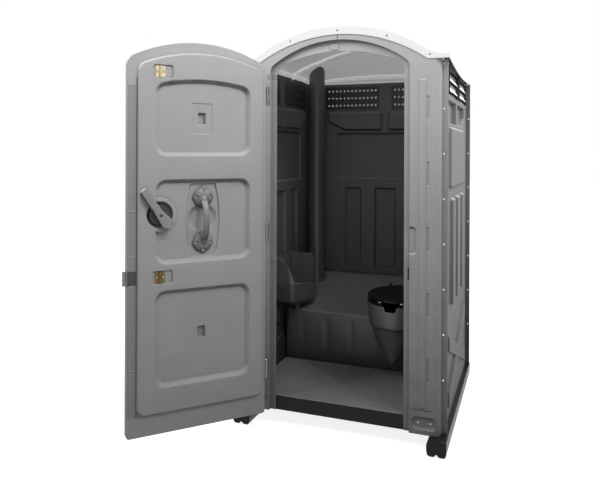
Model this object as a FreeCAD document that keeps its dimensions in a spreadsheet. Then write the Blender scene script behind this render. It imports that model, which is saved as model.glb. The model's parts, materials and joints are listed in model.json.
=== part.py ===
import FreeCAD, Part
import math
import os
import re

from FreeCAD import Placement, Rotation, Vector

# A portable toilet cabin, in millimetres. The origin is the centre of the cabin's footprint
# on the ground, +Z is up and the door is in the -Y side.

os.makedirs("parts", exist_ok=True)
doc = FreeCAD.newDocument("PortableToiletCabin")
sheet = doc.addObject("Spreadsheet::Sheet", "Sizes")

# Driving sizes: name, value and what it measures
SIZES = [
    ("cabin_width", 1180, "across the corner flanges"),
    ("cabin_depth", 1227, "front face to back face"),
    ("shell_base", 85, "ground to the bottom edge of the walls"),
    ("floor_top", 170, "ground to the top of the floor mat"),
    ("wall_sheet", 5, "thickness of the formed wall sheets"),
    ("wall_set_in", 18, "corner flange to the outer plane of a side wall"),
    ("wall_top", 2070, "ground to the flange that carries the roof"),
    # Front frame
    ("frame_depth", 55, "front face to the back of the corner flange"),
    ("frame_set_in", 30, "corner flange edge to the side face of the front frame"),
    ("frame_corner", 36, "radius of the front vertical corners"),
    ("arch_top", 2238, "ground to the crown of the front frame"),
    ("arch_corner", 2064, "ground to the top corner of the front frame"),
    ("arch_rise", 18, "top corner of the front frame to the end of its arch"),
    ("arch_set_in", 68, "side face of the front frame to the end of its arch"),
    ("rebate_width", 796, "across the door rebate"),
    ("rebate_top", 2176, "ground to the crown of the rebate"),
    ("rebate_crown", 640, "crown radius of the rebate"),
    ("rebate_depth", 21.5, "front face to the stop face"),
    ("stop_width", 32, "width of the stop face beside the doorway"),
    ("opening_drop", 60, "crown of the rebate down to the crown of the doorway"),
    ("opening_crown", 880, "crown radius of the doorway"),
    ("arch_shoulder", 60, "radius where an arch meets its side"),
    ("jamb_rib_offset", 68, "doorway rebate to the middle of the raised jamb rib"),
    ("jamb_rib_width", 40, "width of the raised jamb rib"),
    ("jamb_rib_rise", 4, "rise of the raised jamb rib"),
    ("jamb_rib_low", 220, "ground to the foot of the jamb rib"),
    ("jamb_rib_high", 1944, "ground to the top of the jamb rib"),
    ("ledge_z", 212, "ground to the groove across the foot of a jamb"),
    ("ledge_width", 114, "length of the groove across the foot of a jamb"),
    ("seam_width", 5, "width of a moulded seam line"),
    ("seam_sink", 3.2, "depth of a moulded seam line"),
    ("pocket_count", 5, "small pockets beside the jamb rib"),
    ("pocket_pitch", 343, "pitch of the small pockets"),
    ("pocket_first", 354, "ground to the foot of the lowest pocket"),
    ("pocket_height", 130, "height of a small pocket"),
    ("pocket_width", 16, "width of a small pocket"),
    ("pocket_sink", 4, "depth of a small pocket"),
    ("finger_low", 1020, "ground to the foot of the finger recess"),
    ("finger_high", 1170, "ground to the top of the finger recess"),
    ("finger_width", 50, "width of the finger recess"),
    ("finger_sink", 10, "depth of the finger recess"),
    ("foot_low", 107, "ground to the foot of the foot pocket"),
    ("foot_high", 179, "ground to the top of the foot pocket"),
    ("foot_inner", 10, "rebate edge to the foot pocket"),
    ("foot_width", 138, "width of the foot pocket"),
    ("foot_sink", 12, "depth of the foot pocket"),
    # Wall forms, measured from the middle of each wall
    ("vent_inner", 56, "wall middle to the inner edge of a vent"),
    ("bulge_inner", 21, "wall middle to the inner edge of a bulge"),
    ("vent_width", 386, "width of one vent"),
    ("vent_low", 1882, "ground to the lowest vent edge"),
    ("vent_pitch", 54, "pitch of the vent rows"),
    ("vent_slot", 42, "height of one vent row"),
    ("vent_rows", 3, "rows in one vent"),
    ("vent_holes", 13, "holes in one row"),
    ("vent_hole_radius", 8, "radius of one vent hole"),
    ("grille_sheet", 3, "thickness of a vent grille"),
    ("bulge_low", 1715, "ground to the foot of the bulge below a vent"),
    ("bulge_high", 1856, "ground to the top of the bulge below a vent"),
    ("bulge_rise", 24, "how far the bulge stands inwards"),
    ("bulge_chamfer", 64, "height of the cut corner of the bulge"),
    ("window_half", 378, "half width of the large panel"),
    ("window_low", 1354, "ground to the foot of the large panel"),
    ("window_high", 1704, "ground to the top of the large panel"),
    ("window_rise", 14, "how far the large panel stands outwards"),
    ("panel_low", 697, "ground to the foot of the lower panels"),
    ("panel_high", 1302, "ground to the top of the lower panels"),
    ("panel_rise", 18, "how far the lower panels stand outwards"),
    ("panel_middle_half", 86, "half width of the middle panel"),
    ("panel_side_inner", 174, "wall middle to a side panel"),
    ("panel_side_width", 136, "width of a side panel"),
    ("brace_low", 160, "ground to the low end of the crossed brace"),
    ("brace_high", 566, "ground to the high end of the crossed brace"),
    ("brace_half", 430, "half length of the crossed brace"),
    ("brace_width", 92, "width of one bar of the brace"),
    ("brace_rise", 13, "how far the brace stands outwards"),
    ("form_slope", 14, "width of the sloped side of a wall form"),
    # Roof
    ("roof_sheet", 4, "thickness of the roof dome"),
    ("roof_overhang", 15, "corner flange to the side edge of the roof"),
    ("roof_skirt", 2047, "ground to the bottom edge of the roof skirt"),
    ("skirt_sag", 40, "how far the side skirt dips towards its middle"),
    ("lip_top", 2250, "ground to the crown of the front lip"),
    ("lip_bottom", 2205, "ground to the underside of the front lip"),
    ("lip_rivet_rise", 22, "underside of the front lip to its rivets"),
    ("dome_top", 2306, "ground to the crown of the dome"),
    ("dome_shoulder", 2112, "ground to the foot of the dome arch"),
    ("dome_set_in", 50, "side edge of the roof to the foot of the dome arch"),
    ("dome_front", 56, "front lip to the full height of the dome"),
    ("dome_back", 190, "length of the slope at the back of the dome"),
    # Base
    ("skid_width", 103, "width of a skid"),
    ("skid_overhang", 10, "corner flange to the outer face of a skid"),
    ("skid_front_reach", 52.5, "front face to the front end of a skid"),
    ("skid_back_reach", 30, "back face to the back end of a skid"),
    ("skid_nose", 9, "radius of the lower nose of a skid"),
    ("groove_width", 30, "width of the groove under a skid"),
    ("groove_depth", 20, "depth of the groove under a skid"),
    ("pan_sheet", 6, "wall of the base pan"),
    ("mat_sheet", 5, "thickness of the floor mat"),
    ("skid_bolt_radius", 5, "shank radius of a skid bolt"),
    ("skid_bolt_pitch", 380, "pitch of the bolts along a skid"),
    ("skid_bolt_sink", 30, "ground to the seat of a bolt head"),
    ("stake_radius", 5.5, "radius of a stake hole"),
    ("stake_set_in", 77, "outer face of a skid to a stake hole"),
    ("stake_reach", 6.5, "front or back face to a stake hole"),
    # Rivets
    ("rivet_radius", 2.4, "shank radius of a rivet"),
    ("rivet_head", 5.5, "radius of a rivet head"),
    ("rivet_dome", 2.6, "height of a rivet head"),
    ("rivet_first", 365, "ground to the lowest rivet"),
    ("rivet_pitch", 237.3, "pitch of the rivets"),
    ("rivet_count", 8, "rivets in one row"),
    ("rivet_set_in", 7.5, "side face of the front frame to the rivets"),
    ("back_overhang", 8, "corner flange to the side edge of the back wall"),
    # Door, in its own frame: u from the hinge axis, v into the cabin
    ("door_open", 132.3, "opening angle at rest, in degrees"),
    ("hinge_out", 21, "front face to the hinge axis"),
    ("hinge_side", 10.5, "rebate edge out to the hinge axis"),
    ("leaf_near_gap", 15.5, "rebate edge to the near edge of the leaf"),
    ("leaf_far_gap", 11.5, "rebate edge to the free edge of the leaf"),
    ("leaf_lift", 10, "bottom edge of the walls to the bottom of the leaf"),
    ("leaf_drop", 40, "crown of the rebate down to the crown of the leaf"),
    ("leaf_crown", 790, "crown radius of the leaf"),
    ("leaf_front", 6, "hinge axis to the outer face of the leaf"),
    ("leaf_back", 38, "hinge axis to the closing face of the leaf"),
    ("leaf_face", 58, "hinge axis to the raised inner face"),
    ("skin_sheet", 4, "thickness of the door skins"),
    ("raised_near", 16, "near edge of the leaf to the raised inner panel"),
    ("raised_far", 49, "free edge of the leaf to the raised inner panel"),
    ("raised_low", 200, "ground to the foot of the raised panel"),
    ("raised_top", 2084, "ground to the crown of the raised panel"),
    ("raised_crown", 860, "crown radius of the raised panel"),
    ("recess_near", 96, "near edge of the leaf to the recesses"),
    ("recess_far", 136, "free edge of the leaf to the recesses"),
    ("recess_sink", 24, "depth of the recesses"),
    ("recess_slope", 26, "width of the sloped side of a recess"),
    ("recess_corner", 62, "corner radius of the recesses"),
    ("upper_low", 1532, "ground to the foot of the upper recess"),
    ("upper_top", 1944, "ground to the crown of the upper recess"),
    ("upper_crown", 1100, "crown radius of the upper recess"),
    ("middle_low", 971, "ground to the foot of the middle recess"),
    ("middle_top", 1416, "ground to the top of the middle recess"),
    ("lower_low", 333, "ground to the foot of the lower recess"),
    ("lower_top", 841, "ground to the top of the lower recess"),
    ("outer_sink", 8, "depth of the outer panels of the door"),
    ("outer_margin", 92, "leaf edge to the outer panels"),
    # Door furniture
    ("latch_set_in", 164, "free edge of the leaf to the latch"),
    ("latch_z", 1231, "ground to the latch"),
    ("dish_radius", 71, "radius of the dish round the latch"),
    ("collar_width", 16, "width of the collar round the dish"),
    ("boss_radius", 60, "radius of the latch boss"),
    ("boss_height", 16, "height of the latch boss"),
    ("lever_reach", 165, "latch centre to the tip of the lever"),
    ("lever_tail", 88, "latch centre to the tail of the lever"),
    ("lever_width", 45, "width of the lever"),
    ("lever_depth", 22, "depth of the lever"),
    ("lever_stand", 64, "hinge axis to the underside of the lever"),
    ("lever_lean", 35, "lean of the lever from upright, in degrees"),
    ("spindle_radius", 8, "radius of the latch spindle"),
    ("running_gap", 0.08, "radial clearance of a turning fit"),
    ("grip_low", 1020, "ground to the foot of the grab handle"),
    ("grip_high", 1368, "ground to the top of the grab handle"),
    ("grip_flange", 120, "width of a handle flange"),
    ("grip_bar", 40, "width of the handle bar"),
    ("grip_stand", 60, "floor of the recess to the bar's axis"),
    ("grip_screw_spread", 39, "middle of the handle to its side screws"),
    ("grip_screw_end", 14, "end of the handle to its end screw"),
    ("grip_screw_side", 52, "end of the handle to its side screws"),
    ("almond_end", 144, "width of the almond recess at its ends"),
    ("almond_middle", 192, "width of the almond recess at its middle"),
    ("almond_sink", 8, "depth of the almond recess"),
    ("scoop_radius", 86, "radius of the finger scoop behind the handle"),
    ("scoop_sink", 12, "depth of the finger scoop"),
    ("pit_size", 47, "width of a tie pit"),
    ("pit_height", 66, "height of a tie pit"),
    ("pit_upper_z", 1734, "ground to the middle of the upper tie pit"),
    ("pit_lower_z", 596, "ground to the middle of the lower tie pit"),
    ("pit_frame_width", 118, "width of the shallow frame round a tie pit"),
    ("pit_frame_height", 166, "height of the shallow frame round a tie pit"),
    ("pit_frame_sink", 3, "depth of the shallow frame round a tie pit"),
    ("plate_set_in", 167, "free edge of the leaf to the brass plates"),
    ("plate_width", 50, "width of a brass plate"),
    ("plate_height", 60, "height of a brass plate"),
    ("plate_upper_z", 1973, "ground to the middle of the upper plate"),
    ("plate_lower_z", 909, "ground to the middle of the lower plate"),
    ("plate_sheet", 2, "thickness of a brass plate"),
    ("plate_roll", 6, "radius of the rolled middle of a plate"),
    ("screw_radius", 2.4, "shank radius of a screw"),
    ("screw_head", 5.5, "radius of a screw head"),
    ("screw_length", 9, "length of a screw shank"),
    ("hinge_height", 96, "height of one hinge"),
    ("hinge_low_z", 328, "ground to the middle of the lowest hinge"),
    ("hinge_mid_z", 1105, "ground to the middle of the middle hinge"),
    ("hinge_top_z", 1880, "ground to the middle of the top hinge"),
    ("knuckle_radius", 8, "outer radius of a hinge knuckle"),
    ("hinge_pin_radius", 4, "radius of a hinge pin"),
    ("hinge_plate", 3, "thickness of a hinge leaf"),
    ("hasp_z", 909, "ground to the middle of the hasp tab"),
    ("hasp_height", 76, "height of the hasp tab"),
    ("hasp_reach", 20, "how far the tab stands out of the leaf"),
    ("tag_width", 46, "width of the tag at the crown of the stop"),
    ("tag_height", 31, "height of the tag"),
    ("tag_sheet", 3, "thickness of the tag"),
    # Tank, bowl, seat and lid
    ("tank_front", 45, "centre to the front of the tank"),
    ("tank_gap", 2, "clearance between tank and walls"),
    ("tank_wall", 6, "wall of the tank"),
    ("deck_front", 500, "ground to the front edge of the deck"),
    ("deck_back", 661, "ground to the back edge of the deck"),
    ("deck_flat", 48, "level strip at the back of the deck"),
    ("bowl_x", 204, "centre to the bowl"),
    ("bowl_y", 62, "centre to the bowl, towards the back"),
    ("bowl_half_width", 187, "half width of the rim"),
    ("bowl_half_length", 240, "half length of the rim"),
    ("bowl_rim", 620, "ground to the rim"),
    ("bowl_step", 479, "ground to the step under the rim band"),
    ("bowl_tip", 266, "ground to the tip of the pedestal"),
    ("bowl_tip_lead", 145, "middle of the bowl to the tip, towards the door"),
    ("bowl_wall", 6, "wall of the bowl"),
    ("notch_width", 104, "width of the notch in the rim"),
    ("notch_depth", 31, "depth of the notch in the rim"),
    ("liner_sheet", 2.5, "thickness of the bowl liner"),
    ("seat_sheet", 20, "thickness of the seat"),
    ("seat_hole_width", 112, "half width of the seat's hole"),
    ("seat_hole_length", 150, "half length of the seat's hole"),
    ("lid_sheet", 16, "thickness of the lid"),
    ("bumper_height", 3, "height of a lid bumper"),
    ("rest_gap", 0.3, "clearance between a moving piece and its rest"),
    ("lid_axis_y", 318, "centre to the lid's hinge axis, towards the back"),
    ("lid_pin_radius", 5, "radius of the lid's hinge pin"),
    ("lid_lug_offset", 38, "bowl centre to a lid lug"),
    ("seat_lug_offset", 66, "bowl centre to a seat lug"),
    ("post_offset", 95, "bowl centre to a hinge post"),
    ("lug_width", 18, "width of a lug"),
    # Vent pipe
    ("pipe_set_in", 87, "inner plane of the left wall to the middle of the vent pipe"),
    ("pipe_y", 472, "centre to the vent pipe, towards the back"),
    ("pipe_radius", 57, "outer radius of the vent pipe"),
    ("pipe_wall", 4, "wall of the vent pipe"),
    ("pipe_top", 2258, "ground to the top of the vent pipe"),
    ("cap_radius", 70, "radius of the vent cap"),
    ("cap_height", 44, "height of the vent cap"),
    ("foot_ring", 20, "width of the ring at the foot of the pipe"),
    # Urinal
    ("urinal_low", 552, "ground to the bottom of the urinal"),
    ("urinal_rim", 664, "ground to the far end of the front rim"),
    ("urinal_near_rim", 704, "ground to the near end of the front rim"),
    ("urinal_cheek", 868, "ground to the top of the cheeks"),
    ("urinal_high", 872, "ground to the top of the urinal at the wall"),
    ("urinal_front", -148, "centre to the near cheek"),
    ("urinal_back", 152, "centre to the far cheek"),
    ("urinal_reach", 216, "how far the far cheek stands off the wall"),
    ("urinal_near_reach", 140, "how far the near cheek stands off the wall"),
    ("urinal_wall", 5, "wall of the urinal"),
    ("drain_radius", 20, "radius of the urinal's drain pipe"),
    # Paper holder on the right wall
    ("paper_y", -15, "centre to the paper holder"),
    ("paper_z", 830, "ground to the paper spindle"),
    ("paper_stand", 72, "wall to the paper spindle"),
    ("roll_radius", 55, "radius of a paper roll"),
    ("roll_length", 100, "length of a paper roll"),
    ("paper_rod_radius", 18, "radius of the paper spindle"),
    ("bracket_sheet", 4, "thickness of the paper bracket"),
]

size_of = {}
for row, (alias, value, meaning) in enumerate(SIZES, 1):
    sheet.set(f"A{row}", alias)
    sheet.set(f"B{row}", str(value))
    sheet.set(f"C{row}", meaning)
    sheet.setAlias(f"B{row}", alias)
    size_of[alias] = None
doc.recompute()
for alias in size_of:
    size_of[alias] = float(sheet.get(alias))


def get(alias):
    """A driving size, read from the sheet."""
    return size_of[alias]


def bind(thing, **expressions):
    """Bind properties of an object to the sheet. A double underscore stands for a dot."""
    for name, expression in expressions.items():
        words = re.sub(r"[a-z]+(_[a-z]+)+", lambda word: "Sizes." + word.group(0), expression)
        thing.setExpression(name.replace("__", "."), words)
    return thing


nodes = []


def node(thing, label):
    """Name a finished sub-part and put it on the list that is written."""
    thing.Label = label
    nodes.append(thing)
    return thing


def shape_node(shape, label, place=None):
    """A sub-part whose shape is worked out in code, with its place set after its shape."""
    thing = doc.addObject("Part::Feature", label)
    thing.Shape = shape
    if place is not None:
        thing.Placement = place.multiply(shape.Placement)
    return node(thing, label)


# Outlines are functions of an inset and a height that give a closed wire in a level plane


def arc(start, middle, end, height):
    points = [Vector(x, y, height) for x, y in (start, middle, end)]
    return Part.Arc(*points).toShape()


def line(start, end, height):
    return Part.LineSegment(Vector(*start, height), Vector(*end, height)).toShape()


def rounded(points, radius):
    """Outline of a polygon, counter-clockwise, with rounded corners."""

    def shifted(inset):
        count = len(points)
        moved = []
        for i in range(count):
            before, here, after = points[i - 1], points[i], points[(i + 1) % count]
            ax, ay = here[0] - before[0], here[1] - before[1]
            bx, by = after[0] - here[0], after[1] - here[1]
            la, lb = math.hypot(ax, ay), math.hypot(bx, by)
            nax, nay, nbx, nby = -ay / la, ax / la, -by / lb, bx / lb
            scale = inset / (1 + nax * nbx + nay * nby)
            moved.append((here[0] + (nax + nbx) * scale, here[1] + (nay + nby) * scale))
        return moved

    def wire(inset, height):
        corners = shifted(inset)
        count = len(corners)
        ends = []
        for i in range(count):
            before, here, after = corners[i - 1], corners[i], corners[(i + 1) % count]
            back = Vector(before[0] - here[0], before[1] - here[1], 0).normalize()
            on = Vector(after[0] - here[0], after[1] - here[1], 0).normalize()
            turn = math.pi - back.getAngle(on)
            convex = back.cross(on).z < 0
            bend = max(radius - inset, 1.0) if convex else max(radius + inset, 1.0)
            reach = bend * math.tan(turn / 2)
            here = Vector(*here, 0)
            inward = (back + on).normalize()
            middle = here + inward * (bend / math.cos(turn / 2) - bend)
            ends.append((here + back * reach, middle, here + on * reach))
        edges = []
        for i in range(count):
            first, middle, last = ends[i]
            edges.append(arc((first.x, first.y), (middle.x, middle.y), (last.x, last.y), height))
            following = ends[(i + 1) % count][0]
            edges.append(line((last.x, last.y), (following.x, following.y), height))
        return Part.Wire(edges)

    return wire


def box_outline(left, right, low, high, radius):
    """Outline of a rectangle with rounded corners."""
    return rounded([(left, low), (right, low), (right, high), (left, high)], radius)


def arched(middle, half, low, top, crown, shoulder, foot):
    """Outline with straight sides, a round arch on top and rounded feet."""

    def wire(inset, height):
        w, b, t = half - inset, low + inset, top - inset
        big, r, f = crown - inset, max(shoulder - inset, 1.0), max(foot - inset, 1.0)
        centre = t - big
        spring = centre + math.sqrt((big - r) ** 2 - (w - r) ** 2)
        ux, uz = (w - r) / (big - r), (spring - centre) / (big - r)
        touch = (big * ux, centre + big * uz)
        lean = math.hypot(1 + ux, uz)
        bend = (w - r + r * (1 + ux) / lean, spring + r * uz / lean)
        corner = f * (1 - math.sqrt(0.5))

        def at(x, z):
            return (middle + x, z)

        edges = [
            line(at(-w + f, b), at(w - f, b), height),
            arc(at(w - f, b), at(w - corner, b + corner), at(w, b + f), height),
            line(at(w, b + f), at(w, spring), height),
            arc(at(w, spring), at(*bend), at(*touch), height),
            arc(at(*touch), at(0, t), at(-touch[0], touch[1]), height),
            arc(at(-touch[0], touch[1]), at(-bend[0], bend[1]), at(-w, spring), height),
            line(at(-w, spring), at(-w, b + f), height),
            arc(at(-w, b + f), at(-w + corner, b + corner), at(-w + f, b), height),
        ]
        return Part.Wire(edges)

    return wire


def crowned(half, low, corner_top, reach, top, rise):
    """Outline of the front of the cabin: two shoulders that rise to an arch between them."""

    def wire(inset, height):
        w, b, c, t = half - inset, low + inset, corner_top - inset, top - inset
        edges = [
            line((-w, b), (w, b), height),
            line((w, b), (w, c), height),
            line((w, c), (reach, c + rise), height),
            arc((reach, c + rise), (0, t), (-reach, c + rise), height),
            line((-reach, c + rise), (-w, c), height),
            line((-w, c), (-w, b), height),
        ]
        return Part.Wire(edges)

    return wire


def circle(x, y, radius):
    def wire(inset, height):
        ring = Part.Circle(Vector(x, y, height), Vector(0, 0, 1), radius - inset)
        return Part.Wire([ring.toShape()])

    return wire


def prism(outline, low, high, inset=0.0):
    """A straight solid between two heights."""
    return Part.Face(outline(inset, low)).extrude(Vector(0, 0, high - low))


# A formed slope is steep in the middle and eases in and out at its two edges
EASE = [(0.0, 0.0), (0.22, 0.1), (0.78, 0.9), (1.0, 1.0)]


def slope(outline, base, rise, width, inset=0.0, lead=0.0):
    """A solid with sloped sides that rises from base, wide at its foot."""
    wires = []
    if lead:
        wires.append(outline(inset, base - lead))
    wires += [outline(inset + share * width, base + part * rise) for share, part in EASE]
    return Part.makeLoft(wires, True, True)


def emboss(plate, outline, rise, width, sheet_thickness):
    """Press a form into a plate that lies from -sheet_thickness to 0; rise > 0 is outwards."""
    lead = 1.0 if rise > 0 else -1.0
    top = 0.0 if rise > 0 else -sheet_thickness
    hollow = -sheet_thickness if rise > 0 else 0.0
    plate = plate.fuse(slope(outline, top, rise, width))
    inset = sheet_thickness * 0.8
    return plate.cut(slope(outline, hollow, rise, width, inset, lead))


def box(x0, x1, y0, y1, z0, z1):
    return Part.makeBox(x1 - x0, y1 - y0, z1 - z0, Vector(x0, y0, z0))


def rod(radius, start, along, length):
    return Part.makeCylinder(radius, length, Vector(*start), Vector(*along))


def joined(solids):
    """One solid from several that meet."""
    first = solids[0]
    return first.fuse(solids[1:]).removeSplitter() if len(solids) > 1 else first


UPRIGHT = Rotation(Vector(1, 0, 0), 90)


def stand(shape):
    """Stand a shape up: its outline's second axis becomes Z, its height points to -Y."""
    shape = shape.copy()
    shape.Placement = Placement(Vector(), UPRIGHT).multiply(shape.Placement)
    return shape


# Places that several pieces share
FRONT = -get("cabin_depth") / 2
BACK = get("cabin_depth") / 2
FLANGE = get("cabin_width") / 2
SIDE = FLANGE - get("wall_set_in")
SIDE_INNER = SIDE - get("wall_sheet")
PIPE_X = get("pipe_set_in") - SIDE_INNER
FRAME_SIDE = FLANGE - get("frame_set_in")
ARCH_REACH = FRAME_SIDE - get("arch_set_in")
ROOF_REACH = FLANGE + get("roof_overhang")
DOME_REACH = ROOF_REACH - get("dome_set_in")
BACK_REACH = FLANGE + get("back_overhang")
SKID_OUTER = FLANGE + get("skid_overhang")
SKID_FRONT = FRONT - get("skid_front_reach")
SKID_BACK = BACK + get("skid_back_reach")
REBATE = get("rebate_width") / 2
OPENING = REBATE - get("stop_width")
OPENING_TOP = get("rebate_top") - get("opening_drop")
HINGE_X = -REBATE - get("hinge_side")
HINGE_Y = FRONT - get("hinge_out")
DOOR_PLACE = Placement(Vector(HINGE_X, HINGE_Y, 0), Rotation(Vector(0, 0, 1), -get("door_open")))
# Places on the door, along the leaf from the hinge axis
LEAF_START = get("hinge_side") + get("leaf_near_gap")
LEAF_END = get("hinge_side") + get("rebate_width") - get("leaf_far_gap")
LEAF_LOW = get("shell_base") + get("leaf_lift")
LEAF_TOP = get("rebate_top") - get("leaf_drop")
RECESS_START = LEAF_START + get("recess_near")
RECESS_END = LEAF_END - get("recess_far")
GRIP_U = (RECESS_START + RECESS_END) / 2
LATCH_U = LEAF_END - get("latch_set_in")
PLATE_U = LEAF_END - get("plate_set_in")
RIVET_HEIGHTS = [get("rivet_first") + k * get("rivet_pitch") for k in range(int(get("rivet_count")))]


def rivet(place, direction, grip):
    """A blind rivet with a domed head, whose shank goes through both sheets."""
    radius, head, dome = get("rivet_radius"), get("rivet_head"), get("rivet_dome")
    ball = (head ** 2 + dome ** 2) / (2 * dome)
    cap = Part.makeSphere(ball, Vector(0, 0, dome - ball))
    cap = cap.common(Part.makeCylinder(head + 1, dome + 1, Vector(0, 0, 0)))
    body = cap.fuse(Part.makeCylinder(radius, grip, Vector(0, 0, -grip))).removeSplitter()
    body.Placement = Placement(Vector(*place), Rotation(Vector(0, 0, 1), Vector(*direction)))
    return body


def holes(places, direction, length, radius):
    """Round holes through a sheet, as one tool."""
    ahead = Vector(*direction)
    return Part.makeCompound(
        [Part.makeCylinder(radius, length, Vector(*p) - ahead * (length / 2), ahead) for p in places]
    )


def head_screw(place, direction):
    """A pan-head screw with a crossed slot, standing on its shank's far end."""
    head, shank, length = get("screw_head"), get("screw_radius"), get("screw_length")
    body = Part.makeCone(head, head * 0.7, head * 0.5)
    body = body.fuse(Part.makeCylinder(shank, length, Vector(0, 0, -length)))
    slot = box(-head * 0.55, head * 0.55, -0.6, 0.6, head * 0.25, head)
    cross = slot.copy()
    cross.rotate(Vector(), Vector(0, 0, 1), 90)
    body = body.cut([slot, cross])
    body.Placement = Placement(Vector(*place), Rotation(Vector(0, 0, 1), Vector(*direction)))
    return body


# Base


def skid(side):
    """A runner with a grooved underside and rounded ends."""
    outer, inner = SKID_OUTER, SKID_OUTER - get("skid_width")
    middle = (outer + inner) / 2
    groove, depth = get("groove_width") / 2, get("groove_depth")
    top = get("shell_base")
    points = [
        (inner, 32), (inner + 5, 10), (inner + 17, 0), (middle - groove, 0), (middle, depth),
        (middle + groove, 0), (outer - 11, 0), (outer - 2, 20), (outer, top), (inner + 8, top),
        (inner, top - 22),
    ]
    section = rounded(points, 5)
    bar = prism(section, 0, SKID_BACK - SKID_FRONT)
    bar.Placement = Placement(Vector(0, SKID_BACK, 0), UPRIGHT)
    nose = get("skid_nose")
    profile = rounded(
        [
            (SKID_FRONT, nose * 0.9), (SKID_FRONT + nose * 0.8, 0),
            (SKID_BACK - nose * 0.8, 0), (SKID_BACK, nose * 0.9),
            (SKID_BACK, top), (SKID_FRONT, top),
        ],
        4,
    )
    block = prism(profile, -SKID_OUTER - 5, SKID_OUTER + 5)
    block.Placement = Placement(Vector(), Rotation(Vector(1, 1, 1), 120))
    bar = bar.common(block)
    bar = bar.cut(holes(skid_bolt_places(1), (0, 0, 1), 2 * top, get("skid_bolt_radius") + 0.5))
    bar = bar.cut(holes(stake_places(), (0, 0, 1), 4 * top, get("stake_radius")))
    for x, y, _ in skid_bolt_places(1):
        bar = bar.cut(Part.makeCylinder(get("skid_bolt_radius") * 2.4, get("skid_bolt_sink") + 1,
                                        Vector(x, y, -1)))
    if side < 0:
        bar = bar.mirror(Vector(), Vector(1, 0, 0))
    return bar


def stake_places():
    """Middles of the two stake holes of the right skid, just outside the walls."""
    x = SKID_OUTER - get("stake_set_in")
    return [(x, FRONT - get("stake_reach"), 0), (x, BACK + get("stake_reach"), 0)]


def skid_bolt_places(side):
    """Middles of the bolts that hold a skid to the pan."""
    x = SIDE_INNER - 22
    pitch = get("skid_bolt_pitch")
    return [(side * x, k * pitch, get("shell_base")) for k in (-1, 0, 1)]


def skid_bolts():
    """Bolts from below through the skids into the flange of the pan."""
    radius = get("skid_bolt_radius")
    top = get("shell_base") + get("pan_sheet")
    low = get("skid_bolt_sink")
    solids = []
    for side in (-1, 1):
        for x, y, _ in skid_bolt_places(side):
            shank = Part.makeCylinder(radius, top + 8 - low, Vector(x, y, low))
            head = Part.makeCylinder(radius * 2, 6, Vector(x, y, low - 6))
            nut = prism(rounded([(x + radius * 1.9 * math.cos(a), y + radius * 1.9 * math.sin(a))
                                 for a in [k * math.pi / 3 for k in range(6)]], 0.5),
                        top, top + 6)
            solids.append(joined([shank, head, nut]))
    return Part.makeCompound(solids)


def base_pan():
    """The black tray under the floor, open below, with a flange over each skid."""
    thick = get("pan_sheet")
    low, high = get("shell_base"), get("floor_top") - get("mat_sheet")
    frame_back = FRONT + get("frame_depth")
    tongue = FRAME_SIDE - get("wall_sheet") - 5
    nose = FRONT + get("rebate_depth") + get("wall_sheet")
    rear = BACK - get("wall_sheet")
    outer = box(-SIDE_INNER, SIDE_INNER, frame_back, rear, low, high)
    outer = outer.fuse(box(-tongue, tongue, nose, frame_back, low, high)).removeSplitter()
    flange = SIDE_INNER - 50
    hollow = box(-flange, flange, nose + thick, rear - thick, low - 1, high - thick)
    wide = box(-SIDE_INNER + thick, SIDE_INNER - thick, frame_back + thick, rear - thick,
               low + thick, high - thick)
    pan = outer.cut([hollow, wide])
    places = skid_bolt_places(1) + skid_bolt_places(-1)
    return pan.cut(holes(places, (0, 0, 1), 60, get("skid_bolt_radius") + 0.5))


for name, side in (("skid_left", -1), ("skid_right", 1)):
    shape_node(skid(side), name)
shape_node(skid_bolts(), "skid_bolts")
shape_node(base_pan(), "base_pan")

mat = doc.addObject("Part::Box", "mat")
bind(
    mat,
    Length="cabin_width - 2 * frame_set_in - 2 * wall_sheet - 10",
    Width="cabin_depth / 2 - rebate_depth - wall_sheet + tank_front",
    Height="mat_sheet",
    Placement__Base__x="-(cabin_width / 2 - frame_set_in - wall_sheet - 5)",
    Placement__Base__y="-cabin_depth / 2 + rebate_depth + wall_sheet",
    Placement__Base__z="floor_top - mat_sheet",
)
node(mat, "floor_mat")


# Front frame


def frame_rivet_places(side):
    x = side * (FRAME_SIDE + get("rivet_set_in"))
    return [(x, FRONT + get("frame_depth"), z) for z in RIVET_HEIGHTS]


LIP_STEP = 2.0
# Heights of the seams across the left jamb
SEAM_HEIGHTS = (1975, 1990, 929)
# Edge of the roof down to the top of the flanges at the back
FLANGE_DROP = 18


def lip_rivet_places():
    """Rivets of the roof lip, spread along the underside of its arch."""
    reach, crown = ARCH_REACH, get("lip_bottom")
    fall = crown - get("roof_skirt") - LIP_STEP
    bend = (reach ** 2 + fall ** 2) / (2 * fall)
    places = []
    for share in (-1.02, -0.56, 0.0, 0.56, 1.02):
        x = share * reach
        drop = min(bend - math.sqrt(bend ** 2 - x ** 2), fall)
        places.append((x, FRONT, crown - drop + get("lip_rivet_rise")))
    return places


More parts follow.
